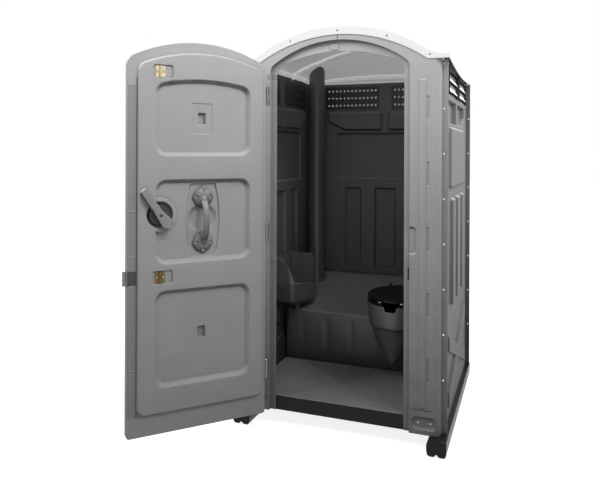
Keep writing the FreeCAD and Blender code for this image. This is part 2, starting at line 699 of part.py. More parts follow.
def front_frame():
    """The whole front, as a formed sheet in its own plane: c is the way out of the cabin."""
    thick, depth, low = get("wall_sheet"), get("frame_depth"), get("shell_base")
    outline = crowned(FRAME_SIDE, low - depth, get("arch_corner"), ARCH_REACH, get("arch_top"),
                      get("arch_rise"))

    def rounded_block(inset, back, front, radius):
        block = prism(outline, back, front, inset)
        half = FRAME_SIDE - inset
        edges = [e for e in block.Edges if len(e.Vertexes) == 2 and
                 all(abs(abs(v.X) - half) < 0.01 and abs(v.Z - front) < 0.01 for v in e.Vertexes)]
        return block.makeFillet(radius, edges)

    corner = get("frame_corner")
    shell = rounded_block(0, -depth, 0, corner)
    shell = shell.cut(rounded_block(thick, -depth - 1, -thick, corner - thick))
    # Corner flanges that the side walls are riveted to
    for side in (-1, 1):
        edge = sorted((side * (FRAME_SIDE - thick), side * FLANGE))
        shell = shell.fuse(box(*edge, low, get("roof_skirt"), -depth, -depth + thick))
    # Pads behind the pockets, then the rebate and its stop face
    pads, cuts = jamb_features()
    shell = shell.fuse(pads)
    sink = get("rebate_depth")
    rebate = arched(0, REBATE, low - 60, get("rebate_top"), get("rebate_crown"),
                    get("arch_shoulder"), 1)
    doorway = arched(0, OPENING, low - 60, OPENING_TOP,
                     get("opening_crown"), get("arch_shoulder"), 1)
    shell = shell.cut(prism(rebate, -depth - 1, 1))
    stop = prism(rebate, -sink - thick, 0, -thick).cut(prism(rebate, -sink, 1))
    stop = stop.cut(prism(doorway, -depth, 1))
    shell = shell.fuse(stop)
    shell = shell.cut(cuts + frame_seams())
    shell = shell.cut(box(-2 * FLANGE, 2 * FLANGE, low - 2 * depth, low, -2 * depth, depth))
    return stand(shell.removeSplitter())


def frame_seams():
    """Fine grooves: across each jamb near its foot, across the left jamb and down the crown."""
    wide, deep = get("seam_width"), get("seam_sink")
    crown = get("arch_top")
    tools = [box(-wide / 2, wide / 2, get("rebate_top") - 1, crown + 1, -deep, 1)]
    for side in (-1, 1):
        ends = sorted((side * (REBATE + 8), side * (REBATE + 8 + get("ledge_width"))))
        tools.append(box(*ends, get("ledge_z") - wide / 2, get("ledge_z") + wide / 2, -deep, 1))
    for z in SEAM_HEIGHTS:
        tools.append(box(-REBATE - 16, -REBATE + 1, z - wide / 2, z + wide / 2, -deep, 1))
        tools.append(box(-REBATE - 1, -OPENING + 1, z - wide / 2, z + wide / 2,
                         -get("rebate_depth") - deep, -get("rebate_depth") + 1))
    return tools


def jamb_features():
    """Ribs and pads to add, and pockets to cut, on both jambs, in the frame's own plane."""
    thick = get("wall_sheet")
    pads, cuts = [], []
    for side in (-1, 1):

        def placed(left, right, low, high, radius):
            ends = sorted((side * left, side * right))
            return box_outline(*ends, low, high, radius)

        rib = REBATE + get("jamb_rib_offset")
        half = get("jamb_rib_width") / 2
        pads.append(slope(placed(rib - half, rib + half, get("jamb_rib_low"), get("jamb_rib_high"), 9),
                          0, get("jamb_rib_rise"), 5))
        left = rib + half + 1
        sink, width = get("pocket_sink"), get("pocket_width")
        for k in range(int(get("pocket_count"))):
            low = get("pocket_first") + k * get("pocket_pitch")
            pocket = placed(left, left + width, low, low + get("pocket_height"), 7)
            pads.append(prism(pocket, -sink - thick, -thick, -3))
            cuts.append(slope(pocket, 0, -sink, 5, 0, -1))
        inner = REBATE + get("foot_inner")
        sink = get("foot_sink")
        foot = placed(inner, inner + get("foot_width"), get("foot_low"), get("foot_high"),
                      (get("foot_high") - get("foot_low")) * 0.47)
        pads.append(prism(foot, -sink - thick, -thick, -3))
        cuts.append(slope(foot, 0, -sink, 12, 0, -1))
    sink, width = get("finger_sink"), get("finger_width")
    finger = box_outline(REBATE - 12, REBATE - 12 + width, get("finger_low"), get("finger_high"),
                         width * 0.48)
    pads.append(prism(finger, -sink - thick, -thick, -3))
    cuts.append(slope(finger, 0, -sink, 9, 0, -1))
    return pads, cuts


whole_front = front_frame()
whole_front.translate(Vector(0, FRONT, 0))
whole_front = whole_front.cut(
    holes(frame_rivet_places(-1) + frame_rivet_places(1), (0, 1, 0), 30, get("rivet_radius") + 0.1)
)
whole_front = whole_front.cut(holes(lip_rivet_places(), (0, 1, 0), 30, get("rivet_radius") + 0.1))
for name, edges in (("front_frame_left", (-2 * FLANGE, 0)), ("front_frame_right", (0, 2 * FLANGE))):
    half_space = box(*edges, -900, 0, 0, 2500)
    shape_node(whole_front.common(half_space), name)


# Walls. Each is formed flat: a along the wall, b up, c out of the cabin, with c = 0 outside


def vent_outline(side, row):
    inner = get("vent_inner")
    ends = sorted((side * inner, side * (inner + get("vent_width"))))
    low = get("vent_low") + row * get("vent_pitch")
    return box_outline(*ends, low, low + get("vent_slot"), 5)


def cut_corner_panel(side, low, high, inner, width, chamfer):
    """A panel whose lower outer corner is cut off."""
    outer = inner + width
    points = [(inner, low), (outer - 2 * chamfer, low), (outer, low + chamfer), (outer, high),
              (inner, high)]
    if side < 0:
        points = [(-x, z) for x, z in reversed(points)]
    return rounded(points, 10)


def wall_forms(plate):
    """The vents, bulges, panels and brace that every wall has."""
    thick, width = get("wall_sheet"), get("form_slope")
    for side in (-1, 1):
        vents = [prism(vent_outline(side, row), -thick - 1, 1) for row in range(int(get("vent_rows")))]
        plate = plate.cut(vents)
        reach = get("vent_inner") + get("vent_width") - get("bulge_inner") - 10
        bulge = cut_corner_panel(side, get("bulge_low"), get("bulge_high"), get("bulge_inner"),
                                 reach, get("bulge_chamfer"))
        plate = emboss(plate, bulge, -get("bulge_rise"), width, thick)
        inner = get("panel_side_inner")
        ends = sorted((side * inner, side * (inner + get("panel_side_width"))))
        panel = box_outline(*ends, get("panel_low"), get("panel_high"), 16)
        plate = emboss(plate, panel, get("panel_rise"), width, thick)
    half = get("panel_middle_half")
    plate = emboss(plate, box_outline(-half, half, get("panel_low"), get("panel_high"), 16),
                   get("panel_rise"), width, thick)
    half = get("window_half")
    window = box_outline(-half, half, get("window_low"), get("window_high"), 22)
    plate = emboss(plate, window, get("window_rise"), width, thick)
    return brace(plate)


def brace(plate):
    """Two crossed bars near the foot of the wall."""
    thick, rise = get("wall_sheet"), get("brace_rise")
    half, bar = get("brace_half"), get("brace_width")
    low, high = get("brace_low"), get("brace_high")
    outer, inner = [], []
    for left, right in ((low, high - bar), (high - bar, low)):
        points = [(-half, left), (half, right), (half, right + bar), (-half, left + bar)]
        outline = rounded(points, 10)
        outer.append(slope(outline, 0, rise, 9))
        inner.append(slope(outline, -thick, rise, 9, thick * 0.8, 1.0))
    return plate.fuse(outer).cut(inner)


def side_wall():
    """A side wall, in its own plane. The front end is at negative a."""
    thick = get("wall_sheet")
    front, back = FRONT + get("frame_depth"), BACK - thick
    low, top = get("shell_base"), get("wall_top")
    plate = box(front, back, low, top, -thick, 0)
    plate = wall_forms(plate)
    out = get("wall_set_in")
    flange_top = get("roof_skirt") - FLANGE_DROP
    plate = plate.fuse([
        box(front, front + thick, low, get("roof_skirt"), 0, out),
        box(back - thick, back, low, flange_top, 0, BACK_REACH - SIDE),
        box(front, back, top - thick, top, 0, ROOF_REACH - get("roof_sheet") - SIDE - 1),
    ])
    return plate.removeSplitter()


def back_wall():
    """The back wall with a flange at each side that the side walls are riveted to."""
    thick = get("wall_sheet")
    low, top = get("shell_base"), get("wall_top") - 8
    plate = wall_forms(box(-SIDE, SIDE, low, top, -thick, 0))
    flange_top = get("roof_skirt") - FLANGE_DROP
    plate = plate.fuse([box(-BACK_REACH, -SIDE, low, flange_top, -thick, 0),
                        box(SIDE, BACK_REACH, low, flange_top, -thick, 0)])
    return plate.removeSplitter()


def wall_place(angle, x, y):
    """Where a flat-formed wall stands; angle turns its outside from the front."""
    return Placement(Vector(x, y, 0), Rotation(Vector(0, 0, 1), angle).multiply(UPRIGHT))


def back_rivet_places(side):
    x = (SIDE + BACK_REACH) / 2
    return [(side * x, BACK - 2 * get("wall_sheet"), z) for z in RIVET_HEIGHTS]


def in_world(shape, place):
    shape = shape.copy()
    shape.Placement = place.multiply(shape.Placement)
    return shape


def drilled(shape, places, direction):
    return shape.cut(holes(places, direction, 40, get("rivet_radius") + 0.1))


right_wall = in_world(side_wall(), wall_place(90, SIDE, 0))
right_wall = drilled(right_wall, frame_rivet_places(1), (0, 1, 0))
right_wall = drilled(right_wall, back_rivet_places(1), (0, 1, 0))
shape_node(right_wall, "wall_right")
shape_node(right_wall.mirror(Vector(), Vector(1, 0, 0)), "wall_left")
rear_wall = in_world(back_wall(), wall_place(180, 0, BACK))
rear_wall = drilled(rear_wall, back_rivet_places(1) + back_rivet_places(-1), (0, 1, 0))
shape_node(rear_wall, "wall_back")


def vent_grille(side):
    """A perforated plate behind one vent, in its wall's own plane."""
    thick, sheet_back = get("grille_sheet"), -get("wall_sheet")
    inner, width = get("vent_inner"), get("vent_width")
    low = get("vent_low")
    rows, count = int(get("vent_rows")), int(get("vent_holes"))
    pitch = width / count
    high = low + (rows - 1) * get("vent_pitch") + get("vent_slot")
    ends = sorted((side * (inner - 9), side * (inner + width + 9)))
    rim = box_outline(*ends, low - 9, high + 9, 8)(0, sheet_back - thick)
    wires = [rim]
    for row in range(rows):
        z = low + row * get("vent_pitch") + get("vent_slot") / 2
        for k in range(count):
            x = side * (inner + (k + 0.5) * pitch)
            wires.append(circle(x, z, get("vent_hole_radius"))(0, sheet_back - thick))
    return Part.Face(wires, "Part::FaceMakerBullseye").extrude(Vector(0, 0, thick))


for name, angle, x, y in (("right", 90, SIDE, 0), ("left", -90, -SIDE, 0), ("back", 180, 0, BACK)):
    for half_name, side in (("a", 1), ("b", -1)):
        shape_node(vent_grille(side), f"vent_grille_{name}_{half_name}", wall_place(angle, x, y))


def corner_rivets():
    """Rivets of the four corners, front pairs first."""
    grip = 2 * get("wall_sheet")
    solids = []
    for side in (-1, 1):
        for x, y, z in frame_rivet_places(side):
            solids.append(rivet((x, y - get("wall_sheet"), z), (0, -1, 0), grip))
    front = Part.makeCompound(solids)
    solids = []
    for side in (-1, 1):
        for place in back_rivet_places(side):
            solids.append(rivet(place, (0, -1, 0), grip))
    return front, Part.makeCompound(solids)


front_rivets, rear_rivets = corner_rivets()
shape_node(front_rivets, "front_corner_rivets")
shape_node(rear_rivets, "back_corner_rivets")


# Roof


def roof_section(y, full, inset, bottom):
    """A cross-section of the roof at y; full is 0 at the lip and 1 at the dome."""
    half = ROOF_REACH - inset
    eave = get("wall_top") + get("roof_sheet") - inset
    lip_reach, lip_foot = ARCH_REACH + 8, eave + 20
    reach = lip_reach + (DOME_REACH - lip_reach) * max(full, 0) - inset
    if full >= 0:
        foot = lip_foot + (get("dome_shoulder") - inset - lip_foot) * full
        top = get("lip_top") + (get("dome_top") - get("lip_top")) * full - inset
    else:
        foot, top = eave + 2, eave + 8
    knee = DOME_REACH + 11 - inset
    points = [Vector(half, y, bottom), Vector(half, y, eave), Vector(knee, y, eave),
              Vector(reach, y, foot)]
    edges = [Part.LineSegment(a, b).toShape() for a, b in zip(points, points[1:])]
    left = [Vector(-p.x, p.y, p.z) for p in reversed(points)]
    edges.append(Part.Arc(points[-1], Vector(0, y, top), left[0]).toShape())
    edges += [Part.LineSegment(a, b).toShape() for a, b in zip(left, left[1:])]
    edges.append(Part.LineSegment(left[-1], points[0]).toShape())
    return Part.Wire(edges)


def roof_body(inset, bottom):
    front = FRONT - get("roof_sheet") + inset
    back = BACK + get("roof_sheet") - inset
    stations = [
        (front, 0.0), (front + 24, 0.0), (front + 30, 0.08),
        (front + get("dome_front") - 8, 0.9), (front + get("dome_front"), 1.0),
        (back - get("dome_back"), 1.0), (back - 14, -1.0), (back, -1.0),
    ]
    return Part.makeLoft([roof_section(y, full, inset, bottom) for y, full in stations], True, True)


def skirt_tool():
    """What lies below the bottom edge of the roof, which dips along the sides."""
    edge, sag = get("roof_skirt"), get("skirt_sag")
    low = edge - 3 * sag
    ends = (FRONT - 20, BACK + 20)
    start, middle, end = (ends[0], edge + 4), (0, edge - sag), (ends[1], edge - 12)
    wire = Part.Wire([arc(start, middle, end, 0), line(end, (ends[1], low), 0),
                      line((ends[1], low), (ends[0], low), 0), line((ends[0], low), start, 0)])
    tool = Part.Face(wire).extrude(Vector(0, 0, 4 * FLANGE))
    tool.Placement = Placement(Vector(-2 * FLANGE, 0, 0), Rotation(Vector(1, 1, 1), 120))
    return tool


def roof_dome():
    thick = get("roof_sheet")
    low = get("roof_skirt") - get("skirt_sag") - 5
    dome = roof_body(0, low).cut([roof_body(thick, low - 50), skirt_tool()])
    under = crowned(ROOF_REACH + 20, get("roof_skirt") - 300, get("roof_skirt"),
                    ARCH_REACH, get("lip_bottom"), LIP_STEP)
    front_cut = stand(prism(under, -14, 30))
    front_cut.translate(Vector(0, FRONT, 0))
    dome = dome.cut(front_cut)
    dome = dome.cut(holes(lip_rivet_places(), (0, 1, 0), 30, get("rivet_radius") + 0.1))
    pipe = Part.makeCylinder(get("pipe_radius") + 1, 600,
                             Vector(PIPE_X, get("pipe_y"), get("wall_top") - 60))
    return dome.cut(pipe)


shape_node(roof_dome(), "roof_dome")
lip_rivets = [rivet((x, y - get("roof_sheet"), z), (0, -1, 0), get("roof_sheet") + get("wall_sheet"))
              for x, y, z in lip_rivet_places()]
shape_node(Part.makeCompound(lip_rivets), "roof_lip_rivets")


# Door. Everything is drawn closed, about the hinge axis, and swung open at the end


def leaf_outline():
    half = (LEAF_END - LEAF_START) / 2
    return arched(LEAF_START + half, half, LEAF_LOW, LEAF_TOP,
                  get("leaf_crown"), get("arch_shoulder") - 4, 16)


def recess_outlines():
    """The three recesses, top to bottom."""
    left, width = RECESS_START, RECESS_END - RECESS_START
    corner = get("recess_corner")
    middle = left + width / 2
    return [
        arched(middle, width / 2, get("upper_low"), get("upper_top"), get("upper_crown"),
               corner, corner),
        box_outline(left, left + width, get("middle_low"), get("middle_top"), corner),
        box_outline(left, left + width, get("lower_low"), get("lower_top"), corner),
    ]


def door_drill():
    """Round way through both skins for the latch spindle."""
    return rod(get("spindle_radius") + 0.6, (LATCH_U, get("latch_z"), -200), (0, 0, 1), 400)


def plate_pockets():
    """Shallow pockets that the brass plates lie in."""
    half_w, half_h = get("plate_width") / 2 + 29, get("plate_height") / 2 + 4.5
    u = PLATE_U - 13
    return [box_outline(u - half_w, u + half_w, z - half_h, z + half_h, 12)
            for z in (get("plate_upper_z"), get("plate_lower_z"))]


PLATE_SINK = 8.0


def door_inner_skin():
    """The formed inner skin: a raised panel with recesses, a collared dish, a scoop and pits."""
    thick = get("skin_sheet")
    base, face = -get("leaf_back"), -get("leaf_face")
    raised_start, raised_end = LEAF_START + get("raised_near"), LEAF_END - get("raised_far")
    raised_half = (raised_end - raised_start) / 2
    raised = arched(raised_start + raised_half, raised_half, get("raised_low"),
                    get("raised_top"), get("raised_crown"), get("arch_shoulder"), 40)
    rise = face - base
    skin = prism(leaf_outline(), base, base + thick)
    skin = skin.fuse(slope(raised, base, rise, 12))
    skin = skin.cut(slope(raised, base + thick, rise, 12, thick * 0.8, -1.0))
    sink, width = get("recess_sink"), get("recess_slope")
    floor = face + sink
    pads, cuts = [], []

    def press(outline, level, depth, draft):
        pads.append(slope(outline, level + thick, depth, draft, -thick * 0.8))
        cuts.append(slope(outline, level, depth, draft, 0, 1.0))

    for outline in recess_outlines():
        press(outline, face, sink, width)
    for outline in plate_pockets():
        press(outline, face, PLATE_SINK, 4)
    skin = skin.fuse(pads).cut(cuts)
    # The collar round the latch stands in the middle recess, with the dish sunk in it
    collar = circle(LATCH_U, get("latch_z"), get("dish_radius") + get("collar_width"))
    dish = circle(LATCH_U, get("latch_z"), get("dish_radius"))
    skin = skin.fuse(slope(collar, floor + 1, face - floor - 1, 5, -5))
    skin = skin.cut(slope(collar, floor + thick, face - floor, 5, -1, -1.0))
    skin = skin.fuse(slope(dish, face + thick, sink, 8, -thick * 0.8))
    skin = skin.cut(slope(dish, face, sink, 8, 0, 1.0))
    pads, cuts = [], []
    press(almond(), floor, get("almond_sink"), 6)
    scoop = circle(GRIP_U, SCOOP_Z, get("scoop_radius"))
    press(scoop, floor + get("almond_sink"), get("scoop_sink"), 30)
    press(pit_outline(get("pit_upper_z"), get("pit_frame_width"), get("pit_frame_height")), floor,
          get("pit_frame_sink"), 3)
    skin = skin.fuse(pads).cut(cuts)
    # The pits tie the two skins together
    levels = ((get("pit_upper_z"), floor + get("pit_frame_sink")), (get("pit_lower_z"), floor))
    for z, level in levels:
        deep = -level - thick - DOOR_TIE
        pit = pit_outline(z, get("pit_size"), get("pit_height"))
        skin = skin.fuse(slope(pit, level + thick, deep, 9, -thick))
        skin = skin.cut(slope(pit, level, deep, 9, 0, 1.0))
    skin = skin.cut(door_drill())
    screws = [(u, z, floor) for u, z in grip_screw_places()]
    skin = skin.cut(holes(screws, (0, 0, 1), 60, get("screw_radius") + 0.1))
    screws = [(u, z, face) for u, z in plate_screw_places()]
    skin = skin.cut(holes(screws, (0, 0, 1), 44, get("screw_radius") + 0.1))
    return stand(skin.removeSplitter())


# Hinge axis to the inner side of the sunk outer panels, which the pits reach
DOOR_TIE = -(get("leaf_front") - get("outer_sink") - get("skin_sheet"))
SCOOP_Z = (get("grip_low") + get("grip_high")) / 2 + 6


def pit_outline(z, width, height):
    """A square outline about the middle of the recesses."""
    middle = GRIP_U + 7
    return box_outline(middle - width / 2, middle + width / 2, z - height / 2, z + height / 2, 6)


def almond():
    """Outline of the recess behind the grab handle: flat ends and bowed sides."""
    low = get("middle_low") + get("recess_slope") + 1
    high = get("middle_top") - get("recess_slope") - 1

    def wire(inset, height):
        end, middle = get("almond_end") / 2 - inset, get("almond_middle") / 2 - inset
        b, t, m = low + inset, high - inset, (low + high) / 2
        corners = [(GRIP_U - end, b), (GRIP_U + end, b), (GRIP_U + end, t), (GRIP_U - end, t)]
        edges = [
            line(corners[0], corners[1], height),
            arc(corners[1], (GRIP_U + middle, m), corners[2], height),
            line(corners[2], corners[3], height),
            arc(corners[3], (GRIP_U - middle, m), corners[0], height),
        ]
        return Part.Wire(edges)

    return wire


def door_outer_skin():
    """The outer tray of the door with three shallow panels and a grip pocket."""
    thick = get("skin_sheet")
    face, back = get("leaf_front"), -get("leaf_back") + thick
    outline = leaf_outline()
    skin = prism(outline, back, face)
    rim = [e for e in skin.Edges if all(abs(v.Z - face) < 0.01 for v in e.Vertexes)]
    skin = skin.makeChamfer(3, rim)
    skin = skin.cut(prism(outline, back - 1, face - thick, thick))
    margin, sink = get("outer_margin"), get("outer_sink")
    left, right = LEAF_START + margin, LEAF_END - margin
    half = (right - left) / 2
    panels = [
        arched(left + half, half, get("upper_low") + 20, get("upper_top") - 20,
               get("leaf_crown") + 210, 50, 50),
        box_outline(left, right, get("middle_low") - 30, get("middle_top") - 30, 50),
        box_outline(left, right, get("lower_low"), get("lower_top"), 50),
    ]
    for outline in panels:
        skin = skin.fuse(slope(outline, face - thick, -sink, 12, -thick * 0.8))
    for outline in panels:
        skin = skin.cut(slope(outline, face, -sink, 12, 0, -1.0))
    places = [(u, z, face) for u, z in pull_screw_places()]
    skin = skin.cut(holes(places, (0, 0, 1), 60, get("screw_radius") + 0.1))
    return stand(skin.cut(door_drill()).removeSplitter())


def grip_screw_places():
    """Three screws in each flange of the grab handle, in the door's plane."""
    u, spread = GRIP_U, get("grip_screw_spread")
    end, side = get("grip_screw_end"), get("grip_screw_side")
    low, high = get("grip_low"), get("grip_high")
    return [(u, high - end), (u - spread, high - side), (u + spread, high - side),
            (u, low + end), (u - spread, low + side), (u + spread, low + side)]


def plate_screw_places():
    reach = get("plate_width") / 2 - 8
    return [(PLATE_U + side * reach, z) for z in (get("plate_upper_z"), get("plate_lower_z"))
            for side in (-1, 1)]


def pull_screw_places():
    u = LATCH_U - 6
    return [(u, get("latch_z") - 120), (u, get("latch_z") - 250)]


def door_node(shape, label):
    return shape_node(shape, label, DOOR_PLACE)


door_node(door_inner_skin(), "door_inner_skin")
door_node(door_outer_skin(), "door_outer_skin")


# Door furniture

GRIP_SEAT = get("leaf_face") - get("recess_sink") - get("almond_sink")


GRIP_FLANGE_RISE = 12.0


def grab_handle():
    """Two flanges and a bowed bar, in the door's plane with the height towards the cabin."""
    u, half = GRIP_U, get("grip_flange") / 2
    low, high, bar = get("grip_low"), get("grip_high"), get("grip_bar") / 2
    stand_off = get("grip_stand") + get("leaf_face") - get("recess_sink") - GRIP_SEAT
    flanges = []
    for end, way in ((low, 1), (high, -1)):
        side = get("grip_screw_side")
        points = [(u - 24, end), (u + 24, end), (u + half, end + way * (side - 12)),
                  (u + half - 4, end + way * (side + 16)), (u + 26, end + way * (side + 44)),
                  (u - 26, end + way * (side + 44)), (u - half + 4, end + way * (side + 16)),
                  (u - half, end + way * (side - 12))]
        if way < 0:
            points.reverse()
        flanges.append(slope(rounded(points, 12), 0, GRIP_FLANGE_RISE, 8))
    sections = []
    for share in (0.0, 0.12, 0.3, 0.5, 0.7, 0.88, 1.0):
        z = low + 46 + share * (high - low - 92)
        lift = 6 + (stand_off - 6) * max(math.sin(math.pi * share), 0.0) ** 0.34
        wide = bar * (1.1 + 0.22 * math.cos(2 * math.pi * share))
        oval = Part.Ellipse(Vector(u, z, lift), wide, 11)
        edge = oval.toShape()
        edge.rotate(Vector(u, z, lift), Vector(1, 0, 0), 90)
        sections.append(Part.Wire([edge]))
    grip = Part.makeLoft(sections, True, False)
    body = joined([flanges[0], flanges[1], grip])
    under = box(u - 80, u + 80, low - 20, high + 20, -60, 0)
    body = body.cut(under)
    places = [(x, z, 0) for x, z in grip_screw_places()]
    body = body.cut(holes(places, (0, 0, 1), 60, get("screw_radius") + 0.1))
    return facing_in(body, GRIP_SEAT)


def facing_in(shape, depth):
    """Stand a shape up with its height towards the cabin, on a plane at depth behind the axis."""
    flip = shape.mirror(Vector(), Vector(0, 0, 1))
    flip = stand(flip)
    flip.translate(Vector(0, depth, 0))
    return flip


def inward_screws(places, depth):
    return Part.makeCompound([head_screw((u, depth, z), (0, 1, 0)) for u, z in places])


door_node(grab_handle(), "grab_handle")
door_node(inward_screws(grip_screw_places(), GRIP_SEAT + GRIP_FLANGE_RISE), "grab_handle_screws")

DISH_FLOOR = get("leaf_face") - get("recess_sink")
# Radial clearance between pieces that are fixed to each other
FIXED_FIT = 0.02


def latch_boss():
    boss = circle(LATCH_U, get("latch_z"), get("boss_radius"))
    body = slope(boss, 0, get("boss_height"), 8)
    bore = rod(get("spindle_radius") + get("running_gap"), (LATCH_U, get("latch_z"), -10),
               (0, 0, 1), 60)
    return facing_in(body.cut(bore), DISH_FLOOR)


def latch_lever():
    """A broad lever with a rounded tip and a short tail, upright before it leans."""
    half = get("lever_width") / 2
    tip, tail = get("lever_reach"), get("lever_tail")
    points = [(-half * 0.8, -tail), (half * 0.8, -tail), (half * 1.04, -8), (half * 0.9, tip),
              (-half * 0.9, tip), (-half * 1.04, -8)]
    body = slope(rounded(points, half * 0.5), 0, get("lever_depth"), 5)
    fit = get("spindle_radius") + FIXED_FIT
    bore = rod(fit, (0, 0, -1), (0, 0, 1), get("lever_depth") * 0.6 + 1)
    head = get("screw_radius") * 1.6 + FIXED_FIT
    screw = rod(head, (0, 0, -1), (0, 0, 1), get("lever_depth") + 5)
    body = body.cut([bore, screw])
    body.rotate(Vector(), Vector(0, 0, 1), -get("lever_lean"))
    body.translate(Vector(LATCH_U, get("latch_z"), 0))
    return facing_in(body, get("lever_stand"))


KNOB_BACK = get("leaf_front") - get("outer_sink") + get("rest_gap")
KNOB_BORE = 12.0


def latch_spindle():
    """The shaft through the door, with its outside turn knob's seat."""
    radius = get("spindle_radius")
    start = -KNOB_BACK - KNOB_BORE
    end = get("lever_stand") + get("lever_depth") * 0.6
    shaft = rod(radius, (LATCH_U, start, get("latch_z")), (0, 1, 0), end - start)
    thread = rod(get("screw_radius") + 0.1, (LATCH_U, end - 12, get("latch_z")), (0, 1, 0), 14)
    return shaft.cut(thread)


def lever_screw():
    top = get("lever_stand") + get("lever_depth")
    end = get("lever_stand") + get("lever_depth") * 0.6
    head = Part.makeCone(8, 6, 4, Vector(LATCH_U, top, get("latch_z")), Vector(0, 1, 0))
    neck = rod(get("screw_radius") * 1.6, (LATCH_U, end, get("latch_z")), (0, 1, 0), top - end)
    shank = rod(get("screw_radius"), (LATCH_U, end - 10, get("latch_z")), (0, 1, 0), 10)
    return joined([head, neck, shank])


def turn_knob():
    """Outside knob with a raised grip bar and a window that shows the state."""
    body = slope(circle(0, 0, 34), 0, 9, 5)
    grip = slope(box_outline(-8, 8, -27, 27, 6), 8, 14, 4)
    bore = rod(get("spindle_radius") + FIXED_FIT, (0, 0, -1), (0, 0, 1), KNOB_BORE + 1)
    body = joined([body, grip]).cut(bore)
    body.rotate(Vector(), Vector(0, 0, 1), -get("lever_lean"))
    body.translate(Vector(LATCH_U, get("latch_z"), 0))
    body = stand(body)
    body.translate(Vector(0, -KNOB_BACK, 0))
    return body


def outside_pull():
    """A bow handle on the outer skin, below the latch."""
    back = get("leaf_front") - get("outer_sink")
    u = LATCH_U - 6
    top, low = get("latch_z") - 105, get("latch_z") - 265
    feet = [slope(box_outline(u - 17, u + 17, z - 17, z + 17, 12), 0, 26, 6)
            for z in (top - 15, low + 15)]
    bar = slope(box_outline(u - 13, u + 13, low, top, 12), 20, 12, 5)
    body = joined(feet + [bar])
    places = [(x, z, 0) for x, z in pull_screw_places()]
    body = body.cut([Part.makeCylinder(get("screw_radius") + 0.1, 16, Vector(x, z, -1))
                     for x, z, _ in places])
    body = stand(body)
    body.translate(Vector(0, -back, 0))
    return body


door_node(latch_boss(), "latch_boss")
door_node(latch_lever(), "latch_lever")
door_node(latch_spindle(), "latch_spindle")
door_node(lever_screw(), "lever_screw")
door_node(turn_knob(), "outside_turn_knob")
door_node(outside_pull(), "outside_pull_handle")
pull_back = get("leaf_front") - get("outer_sink") - get("skin_sheet")
pull_screws = [head_screw((u, -pull_back, z), (0, 1, 0)) for u, z in pull_screw_places()]
door_node(Part.makeCompound(pull_screws), "outside_pull_screws")


def brass_plate(z):
    """A flat plate with a round bead down its middle."""
    u, half, tall = PLATE_U, get("plate_width") / 2, get("plate_height") / 2
    sheet_thickness, roll = get("plate_sheet"), get("plate_roll")
    plate = prism(box_outline(u - half, u + half, z - tall, z + tall, 4), 0, sheet_thickness)
    bead = rod(roll, (u, z - tall, roll - sheet_thickness), (0, 1, 0), 2 * tall)
    body = joined([plate, bead]).cut(box(u - 60, u + 60, z - 80, z + 80, -30, 0))
    places = [(x, zz, 0) for x, zz in plate_screw_places() if abs(zz - z) < 1]
    body = body.cut(holes(places, (0, 0, 1), 30, get("screw_radius") + 0.1))
    return facing_in(body, get("leaf_face") - PLATE_SINK)


door_node(brass_plate(get("plate_upper_z")), "brass_plate_upper")
door_node(brass_plate(get("plate_lower_z")), "brass_plate_lower")
plate_seat = get("leaf_face") - PLATE_SINK + get("plate_sheet")
door_node(inward_screws(plate_screw_places(), plate_seat), "brass_plate_screws")

def hasp_tab():
    """An angle on the free edge of the leaf; its tab lies in front of the jamb when closed."""
    u = LEAF_END
    middle = get("hinge_out") - get("rest_gap") * 5 - get("hinge_plate")
    low, high = get("hasp_z") - get("hasp_height") / 2, get("hasp_z") + get("hasp_height") / 2
    foot = box(u, u + 2, middle - 5, middle + 12, low, high)
    tab = box(u, u + get("hasp_reach"), middle, middle + get("hinge_plate"), low, high)
    return joined([foot, tab])


door_node(hasp_tab(), "hasp_tab")


# Hinges


def hinge_heights():
    return [get("hinge_low_z"), get("hinge_mid_z"), get("hinge_top_z")]


def hinge_pieces():
    """Frame leaves, door leaves and pins of the three hinges, drawn about the hinge axis."""
    tall, outer, inner = get("hinge_height"), get("knuckle_radius"), get("hinge_pin_radius")
    thick, gap = get("hinge_plate"), get("rest_gap")
    third = tall / 3
    frame_leaves, door_leaves, pins = [], [], []
    for z in hinge_heights():
        low = z - tall / 2
        bore = rod(inner + get("running_gap"), (0, 0, low - 1), (0, 0, 1), tall + 2)
        reach = get("hinge_out")
        leaf = [box(-outer - 28, -outer + thick - 0.5, reach - thick, reach, low, low + tall)]
        for base in (low, low + 2 * third):
            leaf.append(rod(outer, (0, 0, base), (0, 0, 1), third))
            leaf.append(box(-outer, -outer + thick + 1, 0, reach, base, base + third))
        frame_leaves.append(joined(leaf).cut(bore))
        mid_low, mid_high = low + third + gap, low + 2 * third - gap
        knuckle = rod(outer, (0, 0, mid_low), (0, 0, 1), mid_high - mid_low)
        face = -get("leaf_front")
        wing = box(0, LEAF_START + 30, face - thick, face, mid_low, mid_high)
        tie = box(-outer * 0.2, LEAF_START, face - thick, face + 2, mid_low, mid_high)
        door_leaves.append(joined([knuckle, wing, tie]).cut(bore))
        head = Part.makeCone(outer * 0.9, outer * 0.5, 4, Vector(0, 0, low + tall + gap))
        pins.append(rod(inner, (0, 0, low - 3), (0, 0, 1), tall + 3 + gap).fuse(head).removeSplitter())
    return [Part.makeCompound(group) for group in (frame_leaves, door_leaves, pins)]


hinge_frame, hinge_door, hinge_pins = hinge_pieces()
shape_node(hinge_frame, "hinge_frame_leaves", Placement(Vector(HINGE_X, HINGE_Y, 0), Rotation()))
door_node(hinge_door, "hinge_door_leaves")
door_node(hinge_pins, "hinge_pins")

